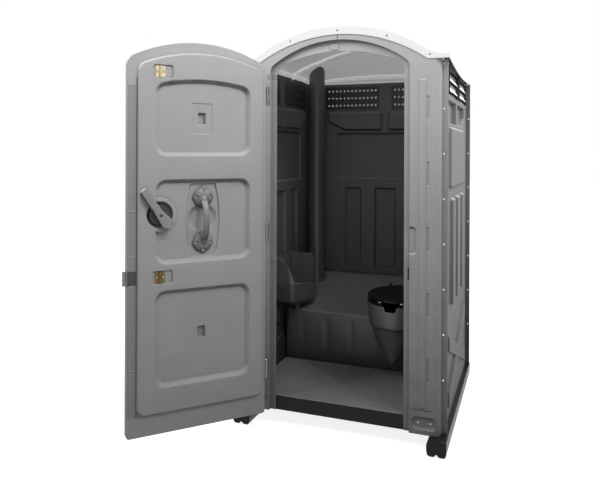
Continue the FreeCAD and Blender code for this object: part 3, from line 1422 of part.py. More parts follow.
tag = doc.addObject("Part::Box", "tag")
bind(
    tag,
    Length="tag_width",
    Width="tag_sheet",
    Height="tag_height",
    Placement__Base__x="-tag_width",
    Placement__Base__y="-cabin_depth / 2 + rebate_depth - tag_sheet",
    Placement__Base__z="rebate_top - opening_drop + 8",
)
node(tag, "stop_tag")

foot_screw_shapes = []
for side in (-1, 1):
    middle = side * (REBATE + get("foot_inner") + get("foot_width") / 2)
    for offset in (-32, 32):
        z = (get("foot_low") + get("foot_high")) / 2
        place = (middle + offset, FRONT + get("foot_sink") - 0.01, z)
        head = head_screw(place, (0, -1, 0))
        keep = box(-700, 700, FRONT - 20, FRONT + get("foot_sink"), 0, 400)
        foot_screw_shapes.append(head.common(keep))
shape_node(Part.makeCompound(foot_screw_shapes), "foot_pocket_screws")


# Tank with its deck and the pedestal of the bowl


def oval(z, half_width, half_length, shift=0.0):
    """A level ellipse about the bowl's middle."""
    centre = Vector(get("bowl_x"), get("bowl_y") + shift, z)
    ring = Part.Ellipse(Vector(centre.x, centre.y + half_length, z),
                        Vector(centre.x - half_width, centre.y, z), centre)
    return Part.Wire([ring.toShape()])


def deck_height(y):
    run = BACK - get("wall_sheet") - get("tank_gap") - get("deck_flat") - get("tank_front")
    share = min(max((y - get("tank_front")) / run, 0.0), 1.0)
    return get("deck_front") + (get("deck_back") - get("deck_front")) * share


def tank_block(inset):
    """The closed outer or inner form of the tank, without the bowl."""
    front, back = get("tank_front") + inset, BACK - get("wall_sheet") - get("tank_gap") - inset
    knee = back + inset - get("deck_flat")
    low = get("floor_top") - get("mat_sheet") + inset
    points = [Vector(0, front, low), Vector(0, back, low), Vector(0, back, get("deck_back") - inset),
              Vector(0, knee, get("deck_back") - inset), Vector(0, front, get("deck_front") - inset)]
    half = SIDE_INNER - get("tank_gap") - inset
    wire = Part.makePolygon(points + points[:1])
    body = Part.Face(wire).extrude(Vector(2 * half, 0, 0))
    body.translate(Vector(-half, 0, 0))
    upright = [e for e in body.Edges if all(abs(v.Y - front) < 0.01 for v in e.Vertexes)
               and abs(e.Vertexes[0].X - e.Vertexes[-1].X) < 0.01]
    body = body.makeFillet(42 - inset, upright)
    brow = [e for e in body.Edges
            if all(abs(v.Z - (get("deck_front") - inset)) < 30 for v in e.Vertexes)
            and e.BoundBox.ZMax > get("deck_front") - inset - 1]
    return body.makeFillet(14 - inset / 2, brow)


def bowl_body(inset, rim_extra):
    """The band under the rim and the cone below it."""
    wide, long, step = get("bowl_half_width"), get("bowl_half_length"), get("bowl_step")
    rim = get("bowl_rim") + rim_extra
    band = Part.makeLoft([
        oval(step + inset, wide - 14 - inset, long - 15 - inset),
        oval(rim, wide - inset, long - inset),
    ], True, True)
    lead = get("bowl_tip_lead")
    cone = Part.makeLoft([
        oval(get("bowl_tip") + inset, 27 - inset, 31 - inset, -lead),
        oval(get("bowl_tip") + 70, 92 - inset, 100 - inset, -lead * 0.58),
        oval(step + 1.2 * inset, wide - 21 - inset, long - 22 - inset),
    ], True, False)
    return band, cone


def flute_tools():
    """Shallow upright flutes in the front of the tank, left of the bowl."""
    tools = []
    for x in (-430, -265, -100):
        tools.append(Part.makeCylinder(150, 190, Vector(x, get("tank_front") - 146, 265)))
    return tools


def notch_tool():
    """The notch in the front of the rim."""
    half, deep = get("notch_width") / 2, get("notch_depth")
    x, rim = get("bowl_x"), get("bowl_rim")
    outline = rounded([(x - half + 20, rim - deep), (x + half - 20, rim - deep), (x + half, rim + 60),
                       (x - half, rim + 60)], 12)
    tool = stand(prism(outline, 0, 120))
    tool.translate(Vector(0, get("bowl_y") - get("bowl_half_length") + 60, 0))
    return tool


drain_x = -SIDE_INNER + get("urinal_near_reach") * 0.62
drain_y = 70.0
tank_outer = tank_block(0)
band, cone = bowl_body(0, 0)
band_inner, cone_inner = bowl_body(get("bowl_wall"), 1)
tank = tank_outer.fuse([band, cone])
tank = tank.cut(flute_tools())
tank = tank.cut(tank_block(get("tank_wall")))
tank = tank.cut([band_inner, cone_inner, notch_tool()])
tank = tank.cut([
    Part.makeCylinder(get("drain_radius") + 0.5, 200, Vector(drain_x, drain_y, get("deck_front") - 60)),
    Part.makeCylinder(get("pipe_radius") - get("pipe_wall"), 200,
                      Vector(PIPE_X, get("pipe_y"), get("deck_front"))),
])
shape_node(tank.removeSplitter(), "waste_tank")


def bowl_liner():
    """A thin funnel that hangs in the bowl from a flange on the rim."""
    wide, long, rim = get("bowl_half_width"), get("bowl_half_length"), get("bowl_rim")
    thick = get("liner_sheet")
    flange = Part.Face(oval(rim, wide - 1, long - 1)).extrude(Vector(0, 0, thick))
    levels = [(rim + thick, 9), (rim - 30, 14), (get("bowl_step") - 20, 70), (get("bowl_step") - 90, 95)]
    outer = Part.makeLoft([oval(z, wide - d, long - d) for z, d in reversed(levels)], True, True)
    inner = Part.makeLoft([oval(z + (1 if z > rim else 0) - (1 if d == 95 else 0),
                                wide - d - thick, long - d - thick)
                           for z, d in reversed(levels)], True, True)
    return flange.fuse(outer).cut([inner, notch_tool()]).removeSplitter()


shape_node(bowl_liner(), "bowl_liner")


# Seat and lid


def bowl_ellipse(name, wide, long, z, height):
    """An upright oval solid about the bowl's middle, bound to the sheet."""
    ring = doc.addObject("Part::Ellipse", name + "_ring")
    bind(ring, MajorRadius=long, MinorRadius=wide, Placement__Base__x="bowl_x",
         Placement__Base__y="bowl_y", Placement__Base__z=z)
    ring.Placement.Rotation = Rotation(Vector(0, 0, 1), 90)
    solid = doc.addObject("Part::Extrusion", name)
    solid.Base = ring
    solid.Dir = (0, 0, 1)
    solid.DirMode = "Custom"
    solid.Solid = True
    bind(solid, LengthFwd=height)
    return solid


def sheet_box(name, length, width, height, x, y, z):
    """A box bound to the sheet, with its low corner given."""
    solid = doc.addObject("Part::Box", name)
    return bind(solid, Length=length, Width=width, Height=height, Placement__Base__x=x,
                Placement__Base__y=y, Placement__Base__z=z)


def sheet_rod(name, radius, height, x, y, z, turn=None):
    """A cylinder bound to the sheet; turn is the rotation that lays it down."""
    solid = doc.addObject("Part::Cylinder", name)
    bind(solid, Radius=radius, Height=height, Placement__Base__x=x, Placement__Base__y=y,
         Placement__Base__z=z)
    if turn is not None:
        solid.Placement.Rotation = turn
    return solid


def fused(name, solids):
    whole = doc.addObject("Part::MultiFuse", name)
    whole.Shapes = solids
    whole.Refine = True
    return whole


def without(name, base, tools):
    """Base less one or more tools."""
    tool = tools[0] if len(tools) == 1 else fused(name + "_tools", tools)
    whole = doc.addObject("Part::Cut", name)
    whole.Base = base
    whole.Tool = tool
    return whole


ALONG_X = Rotation(Vector(0, 1, 0), 90)
ALONG_Y = Rotation(Vector(1, 0, 0), -90)
SEAT_LOW = "bowl_rim + liner_sheet"
LID_LOW = "bowl_rim + liner_sheet + seat_sheet + bumper_height + rest_gap"
AXIS_Z = "(bowl_rim + liner_sheet + seat_sheet + bumper_height + rest_gap + 6)"

seat_disc = bowl_ellipse("seat_disc", "bowl_half_width", "bowl_half_length", SEAT_LOW, "seat_sheet")
seat_hole = bowl_ellipse("seat_hole", "seat_hole_width", "seat_hole_length", SEAT_LOW + " - 1",
                         "seat_sheet + 2")
seat_gap = sheet_box("seat_gap", "notch_width", "bowl_half_length", "seat_sheet + 2",
                     "bowl_x - notch_width / 2", "bowl_y - bowl_half_length - 10", SEAT_LOW + " - 1")
seat_lugs = []
for k, way in enumerate((-1, 1)):
    x = f"bowl_x + {way} * seat_lug_offset - lug_width / 2"
    seat_lugs += [
        sheet_box(f"seat_foot_{k}", "lug_width", "66", "seat_sheet", x, "lid_axis_y - 58", SEAT_LOW),
        sheet_box(f"seat_lug_{k}", "lug_width", "28", "seat_sheet + bumper_height + 14", x,
                  "lid_axis_y - 20", SEAT_LOW),
    ]
seat_bore = sheet_rod("seat_bore", "lid_pin_radius + running_gap", "300", "bowl_x - 150",
                      "lid_axis_y", AXIS_Z, ALONG_X)
seat_ring = without("seat_ring", seat_disc, [seat_hole, seat_gap])
node(without("seat", fused("seat_whole", [seat_ring] + seat_lugs), [seat_bore]), "toilet_seat")

lid_disc = bowl_ellipse("lid_disc", "bowl_half_width - 2", "bowl_half_length - 2", LID_LOW, "lid_sheet")
lid_round = doc.addObject("Part::Fillet", "lid_round")
lid_round.Base = lid_disc
doc.recompute()
top_edge = [i for i, e in enumerate(lid_disc.Shape.Edges, 1)
            if e.Closed and e.BoundBox.ZMin > get("bowl_rim") + get("liner_sheet") +
            get("seat_sheet") + get("bumper_height") + get("lid_sheet") - 1]
lid_round.Edges = [(i, 7.0, 7.0) for i in top_edge]
lid_lugs = [
    sheet_box(f"lid_lug_{k}", "lug_width", "38", "13",
              f"bowl_x + {way} * lid_lug_offset - lug_width / 2", "lid_axis_y - 30", LID_LOW)
    for k, way in enumerate((-1, 1))
]
lid_bore = sheet_rod("lid_bore", "lid_pin_radius + running_gap", "300", "bowl_x - 150",
                     "lid_axis_y", AXIS_Z, ALONG_X)
node(without("lid", fused("lid_whole", [lid_round] + lid_lugs), [lid_bore]), "toilet_lid")

bumpers = []
for k, (dx, dy) in enumerate(((-67, -0.92), (67, -0.92), (-118, 0.45), (118, 0.45))):
    bumpers.append(sheet_rod(f"bumper_{k}", "7", "bumper_height", f"bowl_x + {dx}",
                             f"bowl_y + {dy} * bowl_half_length", LID_LOW + " - bumper_height"))
bumper_group = doc.addObject("Part::Compound", "bumper_group")
bumper_group.Links = bumpers
node(bumper_group, "lid_bumpers")

pin = sheet_rod("pin", "lid_pin_radius", "2 * post_offset + lug_width", "bowl_x - post_offset - lug_width / 2",
                "lid_axis_y", AXIS_Z, ALONG_X)
node(pin, "lid_hinge_pin")


def hinge_posts():
    """Two posts that stand on the sloping deck and hold the hinge pin."""
    axis = (get("bowl_rim") + get("liner_sheet") + get("seat_sheet") + get("bumper_height")
            + get("rest_gap") + 6)
    solids = []
    bore = rod(get("lid_pin_radius") + FIXED_FIT, (get("bowl_x") - 200, get("lid_axis_y"), axis),
               (1, 0, 0), 400)
    for way in (-1, 1):
        x, half = get("bowl_x") + way * get("post_offset"), get("lug_width") / 2
        y = get("lid_axis_y")
        low = deck_height(y) - 40
        post = box(x - half, x + half, y - 13, y + 13, low, axis)
        post = post.fuse(rod(13, (x - half, y, axis), (1, 0, 0), 2 * half)).removeSplitter()
        solids.append(post.cut([tank_outer, bore]))
    return Part.makeCompound(solids)


shape_node(hinge_posts(), "lid_hinge_posts")


# Vent pipe


def vent_pipe():
    x, y, radius = PIPE_X, get("pipe_y"), get("pipe_radius")
    low = deck_height(y) - 80
    tube = Part.makeCylinder(radius, get("pipe_top") - low, Vector(x, y, low))
    tube = tube.cut(Part.makeCylinder(radius - get("pipe_wall"), 2500, Vector(x, y, 0)))
    return tube.cut(tank_outer)


def pipe_foot():
    """A ring on the deck round the foot of the pipe."""
    x, y, radius = PIPE_X, get("pipe_y"), get("pipe_radius")
    run = BACK - get("wall_sheet") - get("tank_gap") - get("deck_flat") - get("tank_front")
    lean = math.degrees(math.atan2(get("deck_back") - get("deck_front"), run))
    outer = Part.makeCylinder(radius + get("foot_ring"), 8)
    ring = outer.makeChamfer(3, [e for e in outer.Edges if e.Closed and e.BoundBox.ZMin > 7])
    ring.Placement = Placement(Vector(x, y, deck_height(y)), Rotation(Vector(1, 0, 0), lean))
    return ring.cut(Part.makeCylinder(radius + get("rest_gap"), 300, Vector(x, y, get("deck_front"))))


def vent_cap():
    """A cap with three ribs that sit on the top of the pipe."""
    x, y, top = PIPE_X, get("pipe_y"), get("pipe_top")
    radius, tall, thick = get("cap_radius"), get("cap_height"), get("pipe_wall")
    crown = top + 12
    cup = Part.makeCylinder(radius, tall, Vector(x, y, crown + thick - tall))
    cup = cup.makeFillet(8, [e for e in cup.Edges if e.Closed and e.BoundBox.ZMin > crown])
    cup = cup.cut(Part.makeCylinder(radius - thick, tall, Vector(x, y, crown - tall)))
    ribs = []
    for k in range(3):
        rib = box(get("pipe_radius") - thick, radius - thick + 0.5, -2, 2, top, crown)
        rib.rotate(Vector(), Vector(0, 0, 1), 120 * k + 30)
        rib.translate(Vector(x, y, 0))
        ribs.append(rib)
    return joined([cup] + ribs)


shape_node(vent_pipe(), "vent_pipe")
shape_node(pipe_foot(), "vent_pipe_foot")
shape_node(vent_cap(), "vent_cap")


# Urinal


def urinal_form(inset):
    """Outer or inner form of the urinal, which reaches further out at its far end."""
    wall_x = -SIDE_INNER + (inset if inset else 0)
    near_out = -SIDE_INNER + get("urinal_near_reach") - inset
    far_out = -SIDE_INNER + get("urinal_reach") - inset
    near, far = get("urinal_front") + inset, get("urinal_back") - inset
    low, rim, high = get("urinal_low"), get("urinal_near_rim"), get("urinal_high")

    def section(z, shrink_near, shrink_far, shrink_out, bend_near, bend_far):
        front, back = near + shrink_near, far - shrink_far
        points = [(wall_x, front), (near_out - shrink_out, front),
                  (far_out - shrink_out * 0.6, back), (wall_x, back)]
        return mixed_wire(points, [1.0, bend_near, bend_far, 1.0], z)

    top = high + (60 if inset else 0)
    return Part.makeLoft([
        section(low + inset, 62, 12, 26, 34, 30),
        section(low + 28, 40, 4, 10, 44, 34),
        section(rim, 10, 0, 0, 52, 38),
        section(top, 0, 0, 0, 52, 38),
    ], True, True)


def mixed_wire(points, radii, height):
    """A closed wire whose corners each have a radius of their own."""
    count = len(points)
    ends = []
    for i in range(count):
        here = Vector(*points[i], 0)
        back = (Vector(*points[i - 1], 0) - here).normalize()
        on = (Vector(*points[(i + 1) % count], 0) - here).normalize()
        turn = math.pi - back.getAngle(on)
        reach = radii[i] * math.tan(turn / 2)
        inward = (back + on).normalize()
        middle = here + inward * (radii[i] / math.cos(turn / 2) - radii[i])
        ends.append((here + back * reach, middle, here + on * reach))
    edges = []
    for i in range(count):
        first, middle, last = ends[i]
        edges.append(arc((first.x, first.y), (middle.x, middle.y), (last.x, last.y), height))
        following = ends[(i + 1) % count][0]
        edges.append(line((last.x, last.y), (following.x, following.y), height))
    return Part.Wire(edges)


def urinal():
    shell = urinal_form(0).cut(urinal_form(get("urinal_wall")))
    wall = -SIDE_INNER
    cheek, top = get("urinal_cheek"), get("urinal_high") + 40
    near_rim, far_rim = get("urinal_near_rim"), get("urinal_rim")
    near_out, far_out = wall + get("urinal_near_reach"), wall + get("urinal_reach")
    # The sweep of the rim, seen along the wall, at the near end and at the far end
    near_rim_line = [(wall + 20, top), (wall + 20, cheek), (wall + 62, cheek - 2),
                     (near_out - 34, cheek - 66), (near_out - 6, near_rim), (wall + 400, near_rim),
                     (wall + 400, top)]
    far_rim_line = [(wall + 20, top), (wall + 20, cheek), (far_out - 54, cheek - 2),
                    (far_out - 20, cheek - 86), (far_out - 6, far_rim), (wall + 400, far_rim),
                    (wall + 400, top)]
    ends = [(get("urinal_front") - 2, near_rim_line), (get("urinal_back") + 2, far_rim_line)]
    wires = [rounded(points, 12)(0, -y) for y, points in ends]
    shell = shell.cut(stand(Part.makeLoft(wires, True, True)))
    drain = Part.makeCylinder(get("drain_radius") - 4, 60, Vector(drain_x, drain_y, get("urinal_low") - 5))
    return shell.cut(drain).removeSplitter()


def urinal_strainer():
    """A domed plate with slots over the drain."""
    low = get("urinal_low") + get("urinal_wall")
    radius = get("drain_radius") + 8
    disc = Part.makeCylinder(radius, 3, Vector(drain_x, drain_y, low))
    slots = [box(drain_x - 13, drain_x + 13, drain_y + k * 8 - 1.5, drain_y + k * 8 + 1.5, low - 1, low + 5)
             for k in (-1, 0, 1)]
    return disc.cut(slots)


def urinal_drain():
    """A short pipe from the urinal down through the deck."""
    top = get("urinal_low")
    low = deck_height(drain_y) - 30
    tube = Part.makeCylinder(get("drain_radius"), top - low, Vector(drain_x, drain_y, low))
    return tube.cut(Part.makeCylinder(get("drain_radius") - 4, 300, Vector(drain_x, drain_y, low - 10)))


shape_node(urinal(), "urinal")
shape_node(urinal_strainer(), "urinal_strainer")
shape_node(urinal_drain(), "urinal_drain_pipe")


# Paper holder

SPINDLE_X = "cabin_width / 2 - wall_set_in - wall_sheet - paper_stand"
ARM_NEAR = "paper_y - roll_length - 2 * bracket_sheet"
ARM_FAR = "paper_y + roll_length + bracket_sheet"
bracket_parts = [
    sheet_box("bracket_back", "bracket_sheet", "2 * roll_length + 4 * bracket_sheet", "90",
              "cabin_width / 2 - wall_set_in - wall_sheet - bracket_sheet", ARM_NEAR, "paper_z - 45"),
    sheet_box("bracket_near", "paper_stand + 24", "bracket_sheet", "60", SPINDLE_X + " - 24", ARM_NEAR,
              "paper_z - 30"),
    sheet_box("bracket_far", "paper_stand + 24", "bracket_sheet", "60", SPINDLE_X + " - 24", ARM_FAR,
              "paper_z - 30"),
]
bracket_bore = sheet_rod("bracket_bore", "paper_rod_radius + 0.02", "600", SPINDLE_X, "paper_y - 300",
                         "paper_z", ALONG_Y)
node(without("bracket", fused("bracket_whole", bracket_parts), [bracket_bore]), "paper_bracket")
spindle = sheet_rod("paper_rod", "paper_rod_radius", "2 * roll_length + 4 * bracket_sheet", SPINDLE_X,
                    ARM_NEAR, "paper_z", ALONG_Y)
node(spindle, "paper_spindle")
for label, start in (("paper_roll_near", "paper_y - roll_length - bracket_sheet + rest_gap"),
                     ("paper_roll_far", "paper_y + rest_gap")):
    roll = sheet_rod(label + "_body", "roll_radius", "roll_length + bracket_sheet - 2 * rest_gap",
                     SPINDLE_X, start, "paper_z", ALONG_Y)
    bore = sheet_rod(label + "_bore", "paper_rod_radius + running_gap", "600", SPINDLE_X,
                     "paper_y - 300", "paper_z", ALONG_Y)
    node(without(label + "_cut", roll, [bore]), label)


# Check the document, then write one file for each sub-part

doc.recompute()
for thing in doc.Objects:
    if "Invalid" in thing.State or "Error" in thing.State:
        raise RuntimeError(f"{thing.Name} failed: {thing.State}")
labels = set()
for thing in nodes:
    shape = thing.Shape
    if shape.isNull() or not shape.isValid() or not shape.Solids:
        raise RuntimeError(f"{thing.Label} has no valid shape")
    if thing.Label in labels:
        raise RuntimeError(f"{thing.Label} is used twice")
    labels.add(thing.Label)
    shape.exportStep(f"parts/{thing.Label}.step")
print(len(nodes), "sub-parts written")
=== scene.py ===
"""Dresses the moulded portable toilet cabin and sets its studio."""
import json
import logging
import math
from dataclasses import dataclass, field
from enum import Enum
from typing import Sequence

import bmesh
import bpy
from mathutils import Matrix, Vector
from mathutils.bvhtree import BVHTree


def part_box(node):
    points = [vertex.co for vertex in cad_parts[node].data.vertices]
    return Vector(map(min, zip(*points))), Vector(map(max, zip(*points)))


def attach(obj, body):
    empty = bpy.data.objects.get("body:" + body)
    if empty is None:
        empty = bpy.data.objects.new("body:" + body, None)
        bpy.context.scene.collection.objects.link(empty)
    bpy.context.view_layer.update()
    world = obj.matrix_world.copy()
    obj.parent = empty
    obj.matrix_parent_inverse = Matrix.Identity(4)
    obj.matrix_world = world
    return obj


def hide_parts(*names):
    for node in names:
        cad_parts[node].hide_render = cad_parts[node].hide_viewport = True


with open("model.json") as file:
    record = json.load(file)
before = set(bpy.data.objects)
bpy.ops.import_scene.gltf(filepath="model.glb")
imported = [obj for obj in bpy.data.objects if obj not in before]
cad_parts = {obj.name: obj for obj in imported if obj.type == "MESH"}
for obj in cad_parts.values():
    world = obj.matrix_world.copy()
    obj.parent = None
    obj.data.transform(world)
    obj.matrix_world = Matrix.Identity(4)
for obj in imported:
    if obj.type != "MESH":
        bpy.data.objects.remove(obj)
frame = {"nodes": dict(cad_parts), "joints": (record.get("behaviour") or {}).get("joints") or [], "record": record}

log = logging.getLogger("cabin")
Colour = tuple[float, float, float]
Point = tuple[float, float, float]
WHITE = (1.0, 1.0, 1.0, 1.0)


class Grain(Enum):
    """How coarse the moulded texture of a plastic is, as its noise scale."""

    FINE = 900.0
    PEBBLE = 520.0
    COARSE = 240.0


class Tone(Enum):
    """What dust and painted light and shade make of a plastic's colour, as a gain and a lift."""

    DUSTY = (2.0, 0.01)
    GRIMY = (0.25, 0.0)
    PACKED = (0.2, 0.0)
    FILMED = (0.12, 0.0)


# Shader groups


class NodeKit:
    """Short ways to add and join shader nodes in one tree."""

    def __init__(self, tree: bpy.types.NodeTree) -> None:
        """Work in this tree."""
        self.tree = tree

    def add(self, kind: str, **values: float) -> bpy.types.Node:
        """Add a node.

        Args:
            kind: Blender's name of the node type.
            values: Defaults of its inputs, by name.

        Returns:
            The new node.
        """
        node = self.tree.nodes.new(kind)
        for name, value in values.items():
            node.inputs[name.replace("_", " ")].default_value = value
        return node

    def join(self, start: bpy.types.Node, output: str, end: bpy.types.Node, entry: str | int) -> None:
        """Link an output of one node to an input of another."""
        self.tree.links.new(start.outputs[output], end.inputs[entry])

    def link(self, value: bpy.types.NodeSocket, node: bpy.types.Node, entry: str) -> None:
        """Link a socket to a node's input."""
        self.tree.links.new(value, node.inputs[entry])

    def entry(self, name: str) -> bpy.types.NodeSocket:
        """Give one of the values that come into this group."""
        return self.tree.nodes["in"].outputs[name]

    def result(self, name: str, value: bpy.types.NodeSocket) -> None:
        """Put a value out of this group."""
        self.link(value, self.tree.nodes["out"], name)

    def noise(self, **values: float) -> bpy.types.Node:
        """Add a noise texture on Object coordinates.

        Args:
            values: Defaults of its inputs, by name.

        Returns:
            The noise's node.
        """
        node = self.add("ShaderNodeTexNoise", **values)
        self.join(self.add("ShaderNodeTexCoord"), "Object", node, "Vector")
        return node

    def seen(self) -> bpy.types.NodeSocket:
        """Tell the rays that look at a surface from the rays that light the scene.

        Returns:
            The socket with one for rays of the camera, of reflections and through glass, else zero.
        """
        path = self.add("ShaderNodeLightPath")
        seen = self.maths("MAXIMUM", path.outputs["Is Camera Ray"], path.outputs["Is Glossy Ray"])
        return self.maths("MAXIMUM", seen, path.outputs["Is Transmission Ray"])

    def maths(self, operation: str, first: object, second: object = None) -> bpy.types.NodeSocket:
        """Work out a value from sockets or numbers.

        Args:
            operation: Name of the Math node's operation.
            first: A socket or a number.
            second: A socket or a number.

        Returns:
            The socket with the result.
        """
        node = self.tree.nodes.new("ShaderNodeMath")
        node.operation = operation
        for entry, value in zip(node.inputs, (first, second)):
            if value is None:
                continue
            if isinstance(value, (int, float)):
                entry.default_value = value
            else:
                self.tree.links.new(value, entry)
        return node.outputs[0]

    def group(self, tree: bpy.types.NodeTree, **values: float) -> bpy.types.Node:
        """Place a node group with its own values.

        Args:
            tree: The group.
            values: Values of its inputs, by name.

        Returns:
            The group's node.
        """
        node = self.tree.nodes.new("ShaderNodeGroup")
        node.node_tree = tree
        for name, value in values.items():
            node.inputs[name].default_value = value
        return node

    def tint(self, colour: Colour, factor: bpy.types.NodeSocket) -> bpy.types.NodeSocket:
        """Multiply a colour by a factor.

        Args:
            colour: The plain colour.
            factor: A socket whose value is around one.

        Returns:
            The socket with the tinted colour.
        """
        node = self.tree.nodes.new("ShaderNodeVectorMath")
        node.operation = "SCALE"
        node.inputs[0].default_value = colour
        self.tree.links.new(factor, node.inputs["Scale"])
        return node.outputs[0]

    def mix(self, factor: bpy.types.NodeSocket, low: object, high: object) -> bpy.types.NodeSocket:
        """Mix two colours by a mask.

        Args:
            factor: The mask's socket.
            low: Colour or socket where the mask is zero.
            high: Colour or socket where the mask is one.

        Returns:
            The socket with the mixed colour.
        """
        node = self.tree.nodes.new("ShaderNodeMix")
        node.data_type = "RGBA"
        self.tree.links.new(factor, node.inputs[0])
        for entry, value in ((node.inputs[6], low), (node.inputs[7], high)):
            if isinstance(value, tuple):
                entry.default_value = (*value, 1.0)
            else:
                self.tree.links.new(value, entry)
        return node.outputs[2]


class Groups:
    """Effects that several finishes share, each built once as a node group."""

    @staticmethod
    def start(name: str, inputs: dict[str, float],
              outputs: dict[str, str]) -> tuple[bpy.types.NodeTree, bool]:
        """Find or make a node group.

        Args:
            name: Name of the group.
            inputs: Its value inputs and their defaults.
            outputs: Its outputs, each with its kind of socket.

        Returns:
            The group, and whether it is new.
        """
        known = bpy.data.node_groups.get(name)
        if known:
            return known, False
        tree = bpy.data.node_groups.new(name, "ShaderNodeTree")
        for label, default in inputs.items():
            socket = tree.interface.new_socket(label, in_out="INPUT", socket_type="NodeSocketFloat")
            socket.default_value = default
        for label, kind in outputs.items():
            tree.interface.new_socket(label, in_out="OUTPUT", socket_type=f"NodeSocket{kind}")
        tree.nodes.new("NodeGroupInput").name = "in"
        tree.nodes.new("NodeGroupOutput").name = "out"
        return tree, True

    @staticmethod
    def grain() -> bpy.types.NodeTree:
        """Fine pebbled height of a moulded plastic.

        Returns:
            The group.
        """
        tree, new = Groups.start("MouldedGrain", {"Scale": 500.0}, {"Height": "Float"})
        if new:
            kit = NodeKit(tree)
            fine = kit.noise(Detail=3.0, Roughness=0.55)
            kit.join(tree.nodes["in"], "Scale", fine, "Scale")
            kit.join(fine, "Fac", tree.nodes["out"], "Height")
        return tree

    @staticmethod
    def mottle() -> bpy.types.NodeTree:
        """Cloudy unevenness of a large moulded sheet, around one.

        Returns:
            The group.
        """
        tree, new = Groups.start("SheetMottle", {"Scale": 3.0, "Amount": 0.1}, {"Factor": "Float"})
        if new:
            kit = NodeKit(tree)
            cloud = kit.noise(Detail=5.0, Roughness=0.6)
            kit.join(tree.nodes["in"], "Scale", cloud, "Scale")
            centred = kit.maths("SUBTRACT", cloud.outputs["Fac"], 0.5)
            scaled = kit.maths("MULTIPLY", centred, kit.entry("Amount"))
            kit.result("Factor", kit.maths("ADD", scaled, 1.0))
        return tree

    @staticmethod
    def settled() -> bpy.types.NodeTree:
        """Masks of pale dust with painted light from above on faces that look up, and of painted shade on faces
        that look down.

        Returns:
            The group.
        """
        inputs = {"Dust": 0.3, "Grime": 0.5, "Scale": 14.0}
        tree, new = Groups.start("SettledDirt", inputs, {"Dust": "Float", "Grime": "Float"})
        if new:
            kit = NodeKit(tree)
            split = kit.add("ShaderNodeSeparateXYZ")
            kit.join(kit.add("ShaderNodeNewGeometry"), "Normal", split, "Vector")
            patch = kit.noise(Detail=6.0, Roughness=0.7)
            kit.join(tree.nodes["in"], "Scale", patch, "Scale")
            cloudy = kit.maths("ADD", kit.maths("MULTIPLY", patch.outputs["Fac"], 0.8), 0.6)
            # Painted light from above, as well as dust, on faces that look up; painted shade on faces that look
            # down
            for label, steepness in (("Dust", 1.7), ("Grime", -1.7)):
                facing = kit.maths("MAXIMUM", kit.maths("MULTIPLY", split.outputs["Z"], steepness), 0.0)
                facing = kit.maths("MINIMUM", facing, 1.0)
                total = kit.maths("MULTIPLY", kit.maths("MULTIPLY", facing, cloudy), kit.entry(label))
                kit.result(label, kit.maths("MINIMUM", total, 1.0))
        return tree

    @staticmethod
    def height_dirt() -> bpy.types.NodeTree:
        """Mask of painted shade that thickens from one height to another.

        Returns:
            The group.
        """
        inputs = {"Clean": 2.1, "Dirty": 0.0, "Amount": 0.4}
        tree, new = Groups.start("HeightDirt", inputs, {"Mask": "Float"})
        if new:
            kit = NodeKit(tree)
            split = kit.add("ShaderNodeSeparateXYZ")
            kit.join(kit.add("ShaderNodeTexCoord"), "Object", split, "Vector")
            patch = kit.noise(Scale=7.0, Detail=5.0, Roughness=0.65)
            span = kit.maths("SUBTRACT", kit.entry("Dirty"), kit.entry("Clean"))
            share = kit.maths("DIVIDE", kit.maths("SUBTRACT", split.outputs["Z"], kit.entry("Clean")), span)
            share = kit.maths("MINIMUM", kit.maths("MAXIMUM", share, 0.0), 1.0)
            cloudy = kit.maths("ADD", kit.maths("MULTIPLY", patch.outputs["Fac"], 0.3), 0.85)
            patchy = kit.maths("MULTIPLY", share, cloudy)
            kit.result("Mask", kit.maths("MULTIPLY", patchy, kit.entry("Amount")))
        return tree

    @staticmethod
    def soft_edge() -> bpy.types.NodeTree:
        """Rounded normals along moulded edges, and a mask of where they are.

        Returns:
            The group.
        """
        outputs = {"Normal": "Vector", "Mask": "Float"}
        tree, new = Groups.start("SoftEdge", {"Radius": 0.003, "Gain": 3.0}, outputs)
        if new:
            kit = NodeKit(tree)
            round_over = kit.add("ShaderNodeBevel")
            round_over.samples = 4
            kit.join(tree.nodes["in"], "Radius", round_over, "Radius")
            product = kit.add("ShaderNodeVectorMath")
            product.operation = "DOT_PRODUCT"
            kit.join(round_over, "Normal", product, 0)
            kit.join(kit.add("ShaderNodeNewGeometry"), "Normal", product, 1)
            bent = kit.maths("SUBTRACT", 1.0, product.outputs["Value"])
            mask = kit.maths("MULTIPLY", bent, kit.entry("Gain"))
            kit.result("Mask", kit.maths("MINIMUM", mask, 1.0))
            kit.join(round_over, "Normal", tree.nodes["out"], "Normal")
        return tree

    @staticmethod
    def crevice() -> bpy.types.NodeTree:
        """Mask of painted shade in corners and gaps.

        Returns:
            The group.
        """
        tree, new = Groups.start("CreviceGrime", {"Reach": 0.03, "Amount": 0.5}, {"Mask": "Float"})
        if new:
            kit = NodeKit(tree)
            # Painted shade: ambient occlusion darkens corners and gaps
            closed = kit.add("ShaderNodeAmbientOcclusion")
            closed.samples = 4
            kit.join(tree.nodes["in"], "Reach", closed, "Distance")
            hidden = kit.maths("SUBTRACT", 1.0, closed.outputs["AO"])
            kit.result("Mask", kit.maths("MULTIPLY", hidden, kit.entry("Amount")))
        return tree


# Finishes


